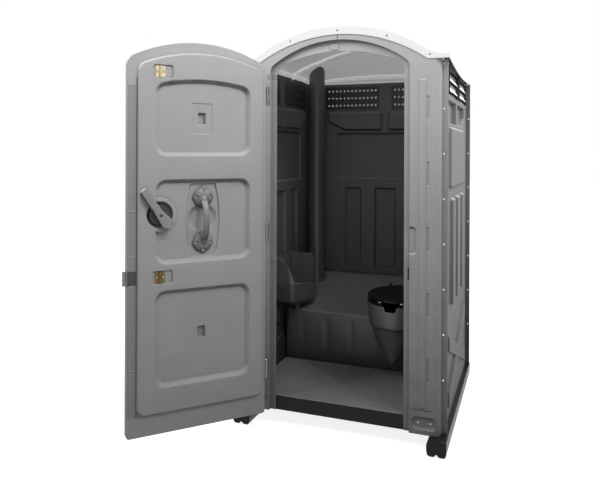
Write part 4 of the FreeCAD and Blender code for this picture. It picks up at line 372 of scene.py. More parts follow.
@dataclass(frozen=True)
class Finish:
    """What every finish has: a name, a colour, a roughness and the radius of its edges."""

    name: str
    colour: Colour
    roughness: float = 0.62
    edge: float = 0.002

    def begin(self) -> tuple[bpy.types.Material, NodeKit, bpy.types.Node]:
        """Make an empty material with its Principled BSDF.

        Returns:
            The material, a kit for its tree and the shader.
        """
        material = bpy.data.materials.new(self.name)
        material.use_nodes = True
        shader = material.node_tree.nodes["Principled BSDF"]
        shader.inputs["Roughness"].default_value = self.roughness
        return material, NodeKit(material.node_tree), shader

    def surface(self, kit: NodeKit, shader: bpy.types.Node, scale: float,
                depth: float) -> bpy.types.Node:
        """Give the shader rounded edges with a fine grain over them.

        Args:
            kit: Kit of the material's tree.
            shader: Its Principled BSDF.
            scale: Scale of the grain.
            depth: Strength of the grain.

        Returns:
            The node of the rounded edges.
        """
        edges = kit.group(Groups.soft_edge(), Radius=self.edge)
        height = kit.group(Groups.grain(), Scale=scale)
        bump = kit.add("ShaderNodeBump", Strength=depth, Distance=0.001)
        kit.join(height, "Height", bump, "Height")
        kit.join(edges, "Normal", bump, "Normal")
        kit.join(bump, "Normal", shader, "Normal")
        return edges

    def build(self) -> bpy.types.Material:
        """Make the material."""
        return self.begin()[0]


@dataclass(frozen=True)
class MouldedPlastic(Finish):
    """Moulded plastic with a pebbled grain, cloudy tone, edges lightened for wear and as painted highlight,
    painted shade in corners, underneath and by height, and dust with painted light on faces that look up.
    """

    grain: Grain = Grain.PEBBLE
    depth: float = 0.12
    mottle: float = 0.16
    dust: float = 0.12
    grime: float = 0.55
    wear: float = 0.35
    splash: float = 0.0
    splash_top: float = 2.1
    soot: float = 0.0
    rub: float = 0.03
    specular: float = 0.4
    clouds: float = 4.5
    specks: float = 160.0
    reach: float = 0.02
    soot_span: tuple[float, float] = (1.4, 2.05)

    def toned(self, gain: float, lift: float) -> Colour:
        """Give a lighter or darker tone of the colour."""
        return tuple(min(1.0, part * gain + lift) for part in self.colour)

    def build(self) -> bpy.types.Material:
        """Make the material.

        Returns:
            The new material.
        """
        material, kit, shader = self.begin()
        shader.inputs["Specular IOR Level"].default_value = self.specular
        edges = self.surface(kit, shader, self.grain.value, self.depth)
        cloud = kit.group(Groups.mottle(), Scale=self.clouds, Amount=self.mottle)
        speck = kit.group(Groups.mottle(), Scale=self.specks, Amount=self.mottle * 1.6)
        base = kit.tint(self.colour, kit.maths("MULTIPLY", cloud.outputs["Factor"], speck.outputs["Factor"]))
        # Painted light and shade: faces that look up are lightened for dust and light from above, faces that look
        # down are darkened as shade
        settled = kit.group(Groups.settled(), Dust=self.dust, Grime=self.grime)
        base = kit.mix(settled.outputs["Dust"], base, self.toned(*Tone.DUSTY.value))
        base = kit.mix(settled.outputs["Grime"], base, self.toned(*Tone.GRIMY.value))
        # Edges are lightened for wear and as a painted highlight where light catches them
        rubbed = kit.maths("MULTIPLY", edges.outputs["Mask"], self.wear)
        base = kit.mix(rubbed, base, self.toned(1.7, self.rub))
        # Painted shade: darker in corners and gaps, from ambient occlusion
        packed = kit.group(Groups.crevice(), Reach=self.reach, Amount=self.grime)
        base = kit.mix(packed.outputs["Mask"], base, self.toned(*Tone.PACKED.value))
        # Painted shade: darker towards the bottom, and on the walls also darker towards the top
        for amount, clean, dirty in ((self.splash, self.splash_top, 0.0), (self.soot, *self.soot_span)):
            if amount:
                film = kit.group(Groups.height_dirt(), Clean=clean, Dirty=dirty, Amount=amount)
                base = kit.mix(film.outputs["Mask"], base, self.toned(*Tone.FILMED.value))
        kit.link(base, shader, "Base Color")
        return material


@dataclass(frozen=True)
class RoofPlastic(Finish):
    """White sheet whose glow is painted light, standing for the daylight that shines through it."""

    glow: float = 0.22

    def build(self) -> bpy.types.Material:
        """Make the material.

        Returns:
            The new material.
        """
        material, kit, shader = self.begin()
        shader.inputs["Specular IOR Level"].default_value = 0.4
        self.surface(kit, shader, Grain.COARSE.value, 0.05)
        cloud = kit.group(Groups.mottle(), Scale=3.0, Amount=0.08)
        tone = kit.tint(self.colour, cloud.outputs["Factor"])
        kit.link(tone, shader, "Base Color")
        # Painted light: the emission stands for daylight through the sheet
        kit.link(tone, shader, "Emission Color")
        shader.inputs["Emission Strength"].default_value = self.glow
        return material


@dataclass(frozen=True)
class Metal(Finish):
    """Bare or plated metal with faint scratches and painted shade in its corners."""

    scratch: float = 0.2
    metallic: float = 1.0

    def build(self) -> bpy.types.Material:
        """Make the material.

        Returns:
            The new material.
        """
        material, kit, shader = self.begin()
        shader.inputs["Metallic"].default_value = self.metallic
        self.surface(kit, shader, 1500.0, self.scratch)
        cloud = kit.group(Groups.mottle(), Scale=60.0, Amount=0.5)
        tone = kit.tint(self.colour, cloud.outputs["Factor"])
        # Painted shade: darker in corners and gaps, from ambient occlusion
        grimy = kit.group(Groups.crevice(), Reach=0.01, Amount=0.7)
        tone = kit.mix(grimy.outputs["Mask"], tone, tuple(part * 0.15 for part in self.colour))
        kit.link(tone, shader, "Base Color")
        kit.link(kit.maths("MULTIPLY", cloud.outputs["Factor"], self.roughness), shader, "Roughness")
        return material


@dataclass(frozen=True)
class Tissue(Finish):
    """Soft paper of a roll, wound in fine layers."""

    def build(self) -> bpy.types.Material:
        """Make the material.

        Returns:
            The new material.
        """
        material, kit, shader = self.begin()
        self.surface(kit, shader, 700.0, 0.3)
        cloud = kit.group(Groups.mottle(), Scale=40.0, Amount=0.12)
        kit.link(kit.tint(self.colour, cloud.outputs["Factor"]), shader, "Base Color")
        return material


FINISHES: dict[str, Finish] = {
    "black_plastic": MouldedPlastic("BlackPlastic", (0.008, 0.008, 0.009), 0.35, 0.003, Grain.FINE, 0.2,
                                    dust=0.15, wear=0.2, specular=0.15),
    "floor_plastic": MouldedPlastic("FloorPlastic", (0.17, 0.17, 0.17), 0.5, 0.002, Grain.PEBBLE, 0.2,
                                    mottle=0.4, dust=0.15, grime=0.9, wear=0.8, rub=0.08),
    "frame_plastic": MouldedPlastic("FramePlastic", (0.47, 0.47, 0.47), edge=0.003, dust=0.35, grime=0.7,
                                    splash=0.92),
    "wall_plastic": MouldedPlastic("WallPlastic", (0.28, 0.28, 0.28), edge=0.004, dust=0.5, grime=0.8,
                                   splash=1.15, soot=0.6),
    "door_plastic": MouldedPlastic("DoorPlastic", (0.52, 0.52, 0.52), edge=0.005, depth=0.3, mottle=0.2,
                                   dust=0.25, grime=0.85, wear=0.5, splash=0.65),
    "handle_plastic": MouldedPlastic("HandlePlastic", (0.21, 0.21, 0.21), 0.3, 0.002, Grain.FINE, 0.15,
                                     dust=0.6, grime=0.95, wear=0.8, rub=0.15),
    "dark_plastic": MouldedPlastic("DarkPlastic", (0.045, 0.045, 0.045), 0.4, 0.0015, Grain.FINE, 0.1,
                                   wear=0.6, rub=0.1),
    "pipe_plastic": MouldedPlastic("PipePlastic", (0.13, 0.13, 0.13), 0.35, 0.002, Grain.FINE, 0.1),
    "tank_plastic": MouldedPlastic("TankPlastic", (0.2, 0.2, 0.2), 0.4, 0.004, dust=0.3, grime=1.0,
                                   wear=0.6, rub=0.1, splash=1.2, splash_top=0.62),
    # Its strong edge lift paints the bright highlight along the rim
    "urinal_plastic": MouldedPlastic("UrinalPlastic", (0.135, 0.135, 0.135), 0.3, 0.0025, Grain.FINE, 0.1,
                                     grime=0.9, wear=1.0, rub=0.45),
    "white_plastic": RoofPlastic("RoofPlastic", (0.66, 0.66, 0.66), 0.45, 0.003, 0.3),
    "rivet": Metal("Rivet", (0.7, 0.7, 0.7), 0.4, 0.0005),
    "steel": Metal("PlatedSteel", (0.6, 0.6, 0.6), 0.3, 0.0005),
    "hinge_metal": Metal("HingeMetal", (0.3, 0.3, 0.3), 0.45, 0.001, 0.2, 0.3),
    "brass": Metal("WornBrass", (0.56, 0.47, 0.31), 0.35, 0.001, 0.5),
    "paper": Tissue("RollPaper", (0.86, 0.86, 0.84), 0.9, 0.002),
}
# Nodes and added pieces whose look differs from the finish of their slot
OWN_FINISHES: dict[str, Finish] = {
    "lever_screw": MouldedPlastic("LeverScrew", (0.05, 0.05, 0.05), 0.3, 0.0006, Grain.FINE, 0.1,
                                  wear=1.0, rub=0.5),
    "roof_lip_rivets": Metal("WeatheredRivet", (0.22, 0.22, 0.22), 0.5, 0.0005, 0.2, 0.3),
    # Painted shade: a darker copy of the door plastic for the outer face
    "door_outer_skin": MouldedPlastic("DoorOuter", (0.33, 0.33, 0.33), edge=0.005, depth=0.3, mottle=0.2,
                                      dust=0.25, grime=0.8, wear=0.5, splash=0.65),
    # Painted shade: a darker copy of the brass for the lower plate
    "brass_plate_lower": Metal("DarkBrass", (0.13, 0.09, 0.04), 0.3, 0.001, 0.6),
    "latch_lever": MouldedPlastic("LeverPlastic", (0.34, 0.34, 0.34), 0.35, 0.002, Grain.FINE, 0.2,
                                  dust=0.5, grime=0.9, wear=0.8, rub=0.15, splash=0.4),
    "edge_strip": MouldedPlastic("EdgeStrip", (0.37, 0.37, 0.37), 0.5, 0.001, dust=0.2, grime=1.0,
                                 wear=0.5, splash=0.65),
    # Painted light: the ribs are lighter than the sheet, standing for more daylight through the doubled sheet
    "roof_ribs": RoofPlastic("RoofRib", (0.9, 0.9, 0.9), 0.4, 0.003, 0.3),
}


# Studio


@dataclass(frozen=True)
class Lamp:
    """A soft square lamp that looks at one point."""

    name: str
    place: Point
    aim: Point
    size: float
    power: float

    def build(self) -> bpy.types.Object:
        """Put the lamp in the scene.

        Returns:
            The lamp's object.
        """
        data = bpy.data.lights.new(self.name, "AREA")
        data.shape = "SQUARE"
        data.size = self.size
        data.energy = self.power
        lamp = bpy.data.objects.new(self.name, data)
        bpy.context.scene.collection.objects.link(lamp)
        lamp.location = self.place
        way = Vector(self.aim) - Vector(self.place)
        lamp.rotation_euler = way.to_track_quat("-Z", "Y").to_euler()
        return lamp


@dataclass
class Studio:
    """The floor, the light and the camera."""

    lens: float = 37.7023
    sensor: float = 36.0
    shift: tuple[float, float] = (0.0157777, -0.150305)
    stand: Point = (0.992965, -3.925098, 1.566966)
    heading: float = 20.91370
    tilt: float = 90.05506
    roll: float = 0.22114
    ambient: float = 0.15
    floor_size: float = 60.0
    floor_tone: Colour = (0.4, 0.4, 0.4)
    floor_white: float = 0.82
    shadow_reach: float = 2.6
    lamps: list[Lamp] = field(default_factory=lambda: [
        Lamp("HighRight", (3.2, -2.6, 5.2), (0.0, -0.6, 1.1), 2.0, 130.0),
        Lamp("HighLeft", (-3.2, -3.2, 4.6), (0.0, -0.6, 1.1), 2.0, 170.0),
        Lamp("RightSide", (3.0, -0.4, 2.9), (0.5, 0.0, 1.5), 1.3, 24.0),
        Lamp("FrontTop", (0.5, -2.1, 3.7), (0.0, -0.6, 1.6), 1.3, 12.0),
        Lamp("LowFront", (0.6, -5.6, 1.8), (0.0, -0.6, 1.1), 2.0, 8.0),
        Lamp("BackRight", (2.2, 4.6, 3.8), (0.0, 0.4, 1.1), 2.0, 130.0),
        Lamp("BackLeft", (-4.2, 2.2, 3.6), (-0.3, 0.2, 1.1), 2.0, 130.0),
    ])

    def camera(self) -> bpy.types.Object:
        """Put the camera where the photograph was taken.

        Returns:
            The camera's object.
        """
        data = bpy.data.cameras.new("PhotoCamera")
        data.lens, data.sensor_width = self.lens, self.sensor
        data.shift_x, data.shift_y = self.shift
        data.clip_end = 100.0
        camera = bpy.data.objects.new("PhotoCamera", data)
        bpy.context.scene.collection.objects.link(camera)
        turn = Matrix.Rotation(math.radians(self.heading), 4, "Z")
        lift = Matrix.Rotation(math.radians(self.tilt), 4, "X")
        roll = Matrix.Rotation(math.radians(self.roll), 4, "Z")
        camera.matrix_world = Matrix.Translation(self.stand) @ turn @ lift @ roll
        bpy.context.scene.camera = camera
        return camera

    def background(self) -> bpy.types.World:
        """Show white to the camera and to reflections, and a plain light to the rest.

        Returns:
            The world.
        """
        world = bpy.data.worlds.new("Studio")
        world.use_nodes = True
        shader = world.node_tree.nodes["Background"]
        shader.inputs["Color"].default_value = WHITE
        kit = NodeKit(world.node_tree)
        lift = kit.maths("MULTIPLY", kit.seen(), 1.0 - self.ambient)
        kit.link(kit.maths("ADD", lift, self.ambient), shader, "Strength")
        return world

    def build(self) -> None:
        """Make the world, floor, lamps and camera."""
        scene = bpy.context.scene
        scene.view_settings.view_transform = "Standard"
        scene.world = self.background()
        for lamp in self.lamps:
            lamp.build()
        self.floor()
        self.camera()

    def floor(self) -> bpy.types.Object:
        """Lay the floor: white to the camera and in reflections, with the cabin's shadow on it.

        Returns:
            The floor's object.
        """
        form = bmesh.new()
        bmesh.ops.create_grid(form, x_segments=1, y_segments=1, size=self.floor_size / 2)
        floor = Piece.link("studio_floor", form)
        material = bpy.data.materials.new("StudioFloor")
        material.use_nodes = True
        shader = material.node_tree.nodes["Principled BSDF"]
        shader.inputs["Base Color"].default_value = (*self.floor_tone, 1.0)
        shader.inputs["Roughness"].default_value = 0.9
        shader.inputs["Specular IOR Level"].default_value = 0.0
        shader.inputs["Emission Color"].default_value = WHITE
        kit = NodeKit(material.node_tree)
        distance = kit.add("ShaderNodeVectorMath")
        distance.operation = "LENGTH"
        kit.join(kit.add("ShaderNodeTexCoord"), "Object", distance, 0)
        far = kit.maths("MINIMUM", kit.maths("DIVIDE", distance.outputs["Value"], self.shadow_reach), 1.0)
        glow = kit.maths("ADD", kit.maths("MULTIPLY", far, 1.0 - self.floor_white), self.floor_white)
        kit.link(kit.maths("MULTIPLY", kit.seen(), glow), shader, "Emission Strength")
        floor.data.materials.append(material)
        return floor


class Piece:
    """Helpers for the scene's own pieces."""

    @staticmethod
    def link(name: str, form: bmesh.types.BMesh) -> bpy.types.Object:
        """Turn a bmesh into an object at the origin.

        Args:
            name: Name of the piece.
            form: Its shape, which is freed.

        Returns:
            The new object.
        """
        mesh = bpy.data.meshes.new(name)
        form.to_mesh(mesh)
        form.free()
        piece = bpy.data.objects.new(name, mesh)
        bpy.context.scene.collection.objects.link(piece)
        return piece

    @staticmethod
    def everything(form: bmesh.types.BMesh) -> list[object]:
        """List the points, edges and faces of a shape."""
        return form.verts[:] + form.edges[:] + form.faces[:]

    @staticmethod
    def block(form: bmesh.types.BMesh, size: Sequence[float],
              middle: Sequence[float]) -> list[bmesh.types.BMVert]:
        """Add a box to a shape.

        Args:
            form: The shape.
            size: Width, depth and height of the box.
            middle: Where its middle goes.

        Returns:
            The box's corners.
        """
        corners = bmesh.ops.create_cube(form, size=1.0)["verts"]
        bmesh.ops.scale(form, vec=size, verts=corners)
        bmesh.ops.translate(form, vec=middle, verts=corners)
        return corners

    @staticmethod
    def bevel(form: bmesh.types.BMesh, edges: Sequence[bmesh.types.BMEdge], offset: float) -> None:
        """Round some edges of a shape in two steps."""
        bmesh.ops.bevel(form, geom=edges, offset=offset, offset_type="OFFSET", segments=2, profile=0.5,
                        affect="EDGES", material=-1)

    @staticmethod
    def absorb(form: bmesh.types.BMesh, part: bmesh.types.BMesh) -> None:
        """Move all of one shape into another.

        Args:
            form: The shape that grows.
            part: The shape that is added, which is freed.
        """
        mesh = bpy.data.meshes.new("part")
        part.to_mesh(mesh)
        part.free()
        form.from_mesh(mesh)
        bpy.data.meshes.remove(mesh)

    @staticmethod
    def soften(piece: bpy.types.Object, grain: float, rounds: int) -> None:
        """Round a piece all over with modifiers.

        Args:
            piece: The piece.
            grain: Size of the new faces.
            rounds: How many times its points are evened out.
        """
        remesh = piece.modifiers.new("remesh", "REMESH")
        remesh.mode = "VOXEL"
        remesh.voxel_size = grain
        remesh.use_smooth_shade = True
        even = piece.modifiers.new("even", "SMOOTH")
        even.factor = 0.5
        even.iterations = rounds

    @classmethod
    def melt(cls, piece: bpy.types.Object, grain: float, rounds: int) -> None:
        """Melt a piece's forms into one rounded body, for good.

        Args:
            piece: The piece.
            grain: Size of the new faces.
            rounds: How many times its points are evened out.
        """
        cls.soften(piece, grain, rounds)
        seen = piece.evaluated_get(bpy.context.evaluated_depsgraph_get())
        mesh = bpy.data.meshes.new_from_object(seen)
        piece.modifiers.clear()
        old, piece.data = piece.data, mesh
        bpy.data.meshes.remove(old)


class Moulding:
    """Smooth copies of CAD pieces whose curved faces would show their triangles."""

    CREASE = math.radians(24)
    ROUND = math.radians(55)
    MERGE = 0.00001
    body_of = {node: body for body, nodes in frame["record"]["behaviour"]["bodies"].items() for node in nodes}

    @classmethod
    def joined(cls, node: str) -> bmesh.types.BMesh:
        """Copy a CAD node's mesh with its triangles joined.

        Args:
            node: Name of the CAD node.

        Returns:
            The copied shape.
        """
        form = bmesh.new()
        form.from_mesh(frame["nodes"][node].data)
        bmesh.ops.remove_doubles(form, verts=form.verts, dist=cls.MERGE)
        return form

    @classmethod
    def copy(cls, node: str) -> bpy.types.Object:
        """Put a copy in the place of a CAD node.

        Args:
            node: Name of the CAD node.

        Returns:
            The copy, which stands for the node.
        """
        piece = Piece.link(f"{node}_smooth", cls.joined(node))
        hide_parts(node)
        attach(piece, cls.body_of[node])
        return piece

    @classmethod
    def smooth(cls, node: str, crease: float = CREASE) -> bpy.types.Object:
        """Copy a node and shade its curved faces smooth, with its edges kept.

        Args:
            node: Name of the CAD node.
            crease: Angle above which an edge stays sharp.

        Returns:
            The copy.
        """
        piece = cls.copy(node)
        mesh = piece.data
        mesh.polygons.foreach_set("use_smooth", [True] * len(mesh.polygons))
        mesh.set_sharp_from_angle(angle=crease)
        weight = piece.modifiers.new("weight", "WEIGHTED_NORMAL")
        weight.keep_sharp = True
        return piece

    @classmethod
    def soften(cls, node: str, grain: float, rounds: int) -> bpy.types.Object:
        """Copy a node and round it all over, as a thick moulding is.

        Args:
            node: Name of the CAD node.
            grain: Size of the mesh's faces.
            rounds: How many times its points are evened out.

        Returns:
            The copy.
        """
        piece = cls.copy(node)
        Piece.soften(piece, grain, rounds)
        return piece


@dataclass
class FloorMat:
    """The floor mat: fine slanting ribs in two fields that meet on a slanting line."""

    pitch: float = 0.02
    width: float = 0.008
    height: float = 0.0035
    seam: tuple[Point, Point] = ((-0.333, -0.049, 0.0), (0.284, -0.541, 0.0))
    ways: tuple[float, float] = (math.radians(52), math.radians(-38))

    def field(self, way: float, keep: float) -> bmesh.types.BMesh:
        """Make the ribs of one field.

        Args:
            way: Angle of the ribs from the cabin's width.
            keep: Which side of the seam they lie on, 1 or -1.

        Returns:
            The ribs.
        """
        low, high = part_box("floor_mat")
        middle = (low + high) / 2
        reach = (high - low).length
        form = bmesh.new()
        Piece.block(form, (reach, self.width, self.height), (0, 0, 0))
        top = [edge for edge in form.edges if min(vert.co.z for vert in edge.verts) > 0
               and edge.verts[0].co.x * edge.verts[1].co.x < 0]
        Piece.bevel(form, top, self.width * 0.3)
        bmesh.ops.translate(form, vec=(0, -reach / 2, high.z - self.height / 2), verts=form.verts)
        rib = Piece.everything(form)
        for step in range(1, int(reach / self.pitch)):
            copied = bmesh.ops.duplicate(form, geom=rib)["geom"]
            verts = [item for item in copied if isinstance(item, bmesh.types.BMVert)]
            bmesh.ops.translate(form, vec=(0, step * self.pitch, 0), verts=verts)
        bmesh.ops.rotate(form, cent=(0, 0, 0), matrix=Matrix.Rotation(way, 3, "Z"), verts=form.verts)
        bmesh.ops.translate(form, vec=(middle.x, middle.y, 0), verts=form.verts)
        start, end = (Vector(point) for point in self.seam)
        across = Vector((start.y - end.y, end.x - start.x, 0)).normalized() * keep
        planes = [(low, (-1, 0, 0)), (high, (1, 0, 0)), (low, (0, -1, 0)), (high, (0, 1, 0)), (start, -across)]
        for place, facing in planes:
            cut = bmesh.ops.bisect_plane(form, geom=Piece.everything(form), plane_co=place, plane_no=facing,
                                         clear_outer=True)
            rims = [item for item in cut["geom_cut"] if isinstance(item, bmesh.types.BMEdge)]
            bmesh.ops.holes_fill(form, edges=rims, sides=0)
        return form

    def build(self, cabin: "Cabin") -> None:
        """Put the ribbed mat in the place of the plain one.

        Args:
            cabin: The cabin, for its finishes.
        """
        low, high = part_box("floor_mat")
        size = high - low
        form = bmesh.new()
        Piece.block(form, (size.x, size.y, size.z - self.height),
                    (low + high) / 2 - Vector((0, 0, self.height / 2)))
        for way, keep in zip(self.ways, (-1.0, 1.0)):
            Piece.absorb(form, self.field(way, keep))
        bmesh.ops.recalc_face_normals(form, faces=form.faces)
        piece = Piece.link("floor_mat_ribbed", form)
        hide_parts("floor_mat")
        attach(piece, "cabin")
        cabin.finish(piece, cabin.slots["floor_mat"])
        log.info("floor mat ribbed, %d faces", len(piece.data.polygons))


@dataclass
class Vents:
    """Fly screens of fine wire behind the back vents, and rain hoods outside the side vents."""

    pitch: float = 0.0032
    wire: float = 0.0016
    rows: int = 3
    drop: float = 0.036
    thick: float = 0.0016
    lean: float = math.radians(24)
    reach: float = 0.0165
    stand_off: float = 0.002
    border: float = 0.004
    sides: dict[str, float] = field(default_factory=lambda: {"left": -1.0, "right": 1.0})

    def bars(self, form: bmesh.types.BMesh, size: Vector, first: Vector, step: Vector, count: int) -> None:
        """Lay a row of equal bars.

        Args:
            form: Where they go.
            size: Size of one bar.
            first: Middle of the first bar.
            step: From one bar to the next.
            count: How many.
        """
        for place in range(count):
            Piece.block(form, size, first + step * place)

    def screen(self, half: str, cabin: "Cabin") -> None:
        """Stretch a fly screen behind one of the back grilles.

        Args:
            half: Letter of the grille.
            cabin: The cabin, for its finishes.
        """
        low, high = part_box(f"vent_grille_back_{half}")
        size, middle = high - low, (low + high) / 2
        form = bmesh.new()
        wire = self.wire
        depth = high.y + wire / 2
        self.bars(form, Vector((wire, wire, size.z)), Vector((low.x + wire, depth, middle.z)),
                  Vector((self.pitch, 0, 0)), int(size.x / self.pitch))
        self.bars(form, Vector((size.x, wire, wire)), Vector((middle.x, depth + wire, low.z + wire)),
                  Vector((0, 0, self.pitch)), int(size.z / self.pitch))
        piece = Piece.link(f"vent_screen_{half}", form)
        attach(piece, "cabin")
        cabin.finish(piece, "dark_plastic")

    def hood(self, wall: str, half: str, cabin: "Cabin") -> None:
        """Put slanting slats between two cheeks outside one of the side grilles.

        Args:
            wall: The wall's name.
            half: Letter of the grille.
            cabin: The cabin, for its finishes.
        """
        sign = self.sides[wall]
        low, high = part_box(f"vent_grille_{wall}_{half}")
        size, middle = high - low, (low + high) / 2
        outer = (high.x if sign > 0 else low.x) + sign * self.stand_off
        form = bmesh.new()
        for row in range(self.rows):
            slat = Piece.block(form, (self.thick, size.y, self.drop), (0, 0, -self.drop / 2))
            turn = Matrix.Rotation(-sign * self.lean, 3, "Y")
            bmesh.ops.rotate(form, cent=(0, 0, 0), matrix=turn, verts=slat)
            top = high.z - self.border - row * size.z / self.rows
            bmesh.ops.translate(form, vec=(outer, middle.y, top), verts=slat)
        cheek = Vector((self.reach, self.thick, size.z - self.border * 3))
        first = Vector((outer + sign * self.reach / 2, low.y + self.thick / 2, middle.z - self.border))
        self.bars(form, cheek, first, Vector((0, size.y - self.thick, 0)), 2)
        Piece.bevel(form, form.edges[:], self.thick * 0.3)
        piece = Piece.link(f"vent_hood_{wall}_{half}", form)
        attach(piece, "cabin")
        cabin.finish(piece, "dark_plastic")

    def build(self, cabin: "Cabin") -> None:
        """Fit every vent.

        Args:
            cabin: The cabin, for its finishes.
        """
        for half in "ab":
            self.screen(half, cabin)
            for wall in self.sides:
                self.hood(wall, half, cabin)
        log.info("vents screened and hooded")


@dataclass
class Door:
    """The pieces of the door, in its own frame: along the leaf, out of its inner face, and up.

    The handle has pads under its screws, flanges, necks and a bowed bar. The lever has a bar and a broad
    tail. The strip on the free edge has lengths, joints, a seam and the block of the hasp.
    """

    grain: float = 0.0017
    rounds: int = 5
    pad: Point = (0.0205, 0.015, 0.0205)
    flange: Point = (0.056, 0.027, 0.054)
    neck: Point = (0.024, 0.042, 0.042)
    bar: tuple[float, float] = (0.0175, 0.0115)
    bar_foot: float = 0.01
    bar_start: float = 1.2
    bar_bow: float = 0.4
    bar_steps: int = 28
    cup: float = 0.0095
    cup_flat: float = 0.78
    cup_slope: float = 5.0
    cup_floor: float = 0.0115
    lean: float = math.radians(38)
    tail: float = 0.03
    tail_place: float = 0.05
    tail_sides: int = 32
    lever_reach: float = 0.03
    lever_half: float = 0.018
    lever_depths: tuple[float, float] = (0.014, 0.0005)
    strip: tuple[float, float] = (0.7485, 0.7935)
    strip_seat: float = 0.0375
    strip_ends: tuple[float, ...] = (0.2, 0.44, 0.87, 1.02, 1.255, 1.9)
    strip_gap: float = 0.002
    strip_sheet: float = 0.0015
    joint: float = 0.004
    joint_rise: float = 0.003
    seam: float = 0.7415
    seam_rise: float = 0.002
    seam_top: float = 0.04
    hasp_rise: float = 0.0025

    def __post_init__(self) -> None:
        """Read where the door hangs and how far it stands open."""
        hinge = next(joint for joint in frame["joints"] if joint["name"] == "door_hinge")
        turn = Matrix.Rotation(-math.radians(hinge["range_deg"][1]), 4, "Z")
        self.place = Matrix.Translation((*hinge["pos_m"][:2], 0)) @ turn
        self.latch = next(joint for joint in frame["joints"] if joint["name"] == "latch_turn")["pos_m"]

    def points(self, node: str) -> list[Vector]:
        """Give a node's points in the door's frame."""
        inward = self.place.inverted()
        return [inward @ vert.co for vert in frame["nodes"][node].data.vertices]

    @staticmethod
    def corners(points: Sequence[Vector]) -> tuple[Vector, Vector]:
        """Give the lowest and the highest corner round some points."""
        return Vector(map(min, zip(*points))), Vector(map(max, zip(*points)))

    def box(self, node: str) -> tuple[Vector, Vector]:
        """Give a node's lowest and highest corners in the door's frame."""
        return self.corners(self.points(node))

    def heads(self, node: str, spread: float = 0.012) -> list[Vector]:
        """Find the middles of a node's screws.

        Args:
            node: Name of the node.
            spread: How far the points of one screw reach from each other.

        Returns:
            One point for each screw.
        """
        groups: list[list[Vector]] = []
        for point in self.points(node):
            near = [group for group in groups
                    if abs(group[0].x - point.x) < spread and abs(group[0].z - point.z) < spread]
            if near:
                near[0].append(point)
            else:
                groups.append([point])
        return [sum(self.corners(group), Vector()) / 2 for group in groups]

    @staticmethod
    def blob(form: bmesh.types.BMesh, middle: Point, radii: Point) -> None:
        """Add an egg-shaped swelling.

        Args:
            form: Where it goes.
            middle: Its middle.
            radii: Its half width, depth and height.
        """
        ball = bmesh.ops.create_uvsphere(form, u_segments=32, v_segments=16, radius=1.0)["verts"]
        bmesh.ops.scale(form, vec=radii, verts=ball)
        bmesh.ops.translate(form, vec=middle, verts=ball)

    def grip(self, form: bmesh.types.BMesh, low: Vector, high: Vector) -> None:
        """Sweep the bowed bar from flange to flange.

        Args:
            form: Where it goes.
            low: Lowest corner of the handle.
            high: Highest corner of the handle.
        """
        seat, axis = low.y + self.bar_foot, high.y - self.bar[1]
        inset = self.flange[2] * self.bar_start
        start, end = low.z + inset, high.z - inset
        ring = bmesh.ops.create_circle(form, cap_ends=True, segments=24, radius=1.0)["verts"]
        bmesh.ops.scale(form, vec=(self.bar[0], self.bar[1], 1.0), verts=ring)
        middle = Vector(((low.x + high.x) / 2, seat, start))
        bmesh.ops.translate(form, vec=middle, verts=ring)
        face = next(face for face in form.faces if set(face.verts) == set(ring))
        for step in range(1, self.bar_steps + 1):
            share = step / self.bar_steps
            lift = seat + (axis - seat) * max(math.sin(math.pi * share), 0.0) ** self.bar_bow
            place = Vector((middle.x, lift, start + (end - start) * share))
            face = self.extend(form, face)
            bmesh.ops.translate(form, vec=place - face.calc_center_median(), verts=list(face.verts))

    @staticmethod
    def extend(form: bmesh.types.BMesh, face: bmesh.types.BMFace) -> bmesh.types.BMFace:
        """Extrude a face.

        Args:
            form: The shape.
            face: One of its faces.

        Returns:
            The new end face.
        """
        made = bmesh.ops.extrude_face_region(form, geom=[face], use_keep_orig=False)["geom"]
        return next(item for item in made if isinstance(item, bmesh.types.BMFace))

    def countersink(self, piece: bpy.types.Object, heads: list[Vector], seat: float) -> None:
        """Sink a shallow cup round each screw.

        Args:
            piece: The handle.
            heads: Middles of the screws.
            seat: Level of the face that the handle sits on.
        """
        form = bmesh.new()
        form.from_mesh(piece.data)
        for vert in form.verts:
            for head in heads:
                away = math.hypot(vert.co.x - head.x, vert.co.z - head.z)
                if away < self.cup:
                    wall = max(0.0, away - self.cup * self.cup_flat) * self.cup_slope
                    vert.co.y = min(vert.co.y, seat + self.cup_floor + wall)
        form.to_mesh(piece.data)
        form.free()

    def lever(self, cabin: "Cabin") -> None:
        """Mould the latch lever with its broad rounded tail.

        Args:
            cabin: The cabin, for its finishes.
        """
        front = self.box("latch_lever")[1].y
        inward = self.place.inverted()
        form = Moulding.joined("latch_lever")
        bmesh.ops.transform(form, matrix=inward, verts=form.verts)
        along = Vector((math.sin(self.lean), 0.0, math.cos(self.lean)))
        across = Vector((along.z, 0.0, -along.x))
        middle = inward @ Vector(self.latch) - along * self.tail_place
        neck = middle + along * (self.tail_place + self.lever_reach)
        turns = [math.tau * step / self.tail_sides for step in range(self.tail_sides)]
        outline = [neck - across * self.lever_half, neck + across * self.lever_half]
        outline += [middle + Vector((math.cos(turn), 0.0, math.sin(turn))) * self.tail for turn in turns]
        hull = [form.verts.new((corner.x, front - depth, corner.z)) for corner in outline
                for depth in self.lever_depths]
        bmesh.ops.convex_hull(form, input=hull)
        piece = Piece.link("latch_lever_moulded", form)
        Piece.melt(piece, self.grain, self.rounds)
        piece.data.transform(self.place)
        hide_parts("latch_lever")
        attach(piece, "latch")
        cabin.finish(piece, cabin.slots["latch_lever"], "latch_lever")
        log.info("latch lever moulded, %d faces", len(piece.data.polygons))

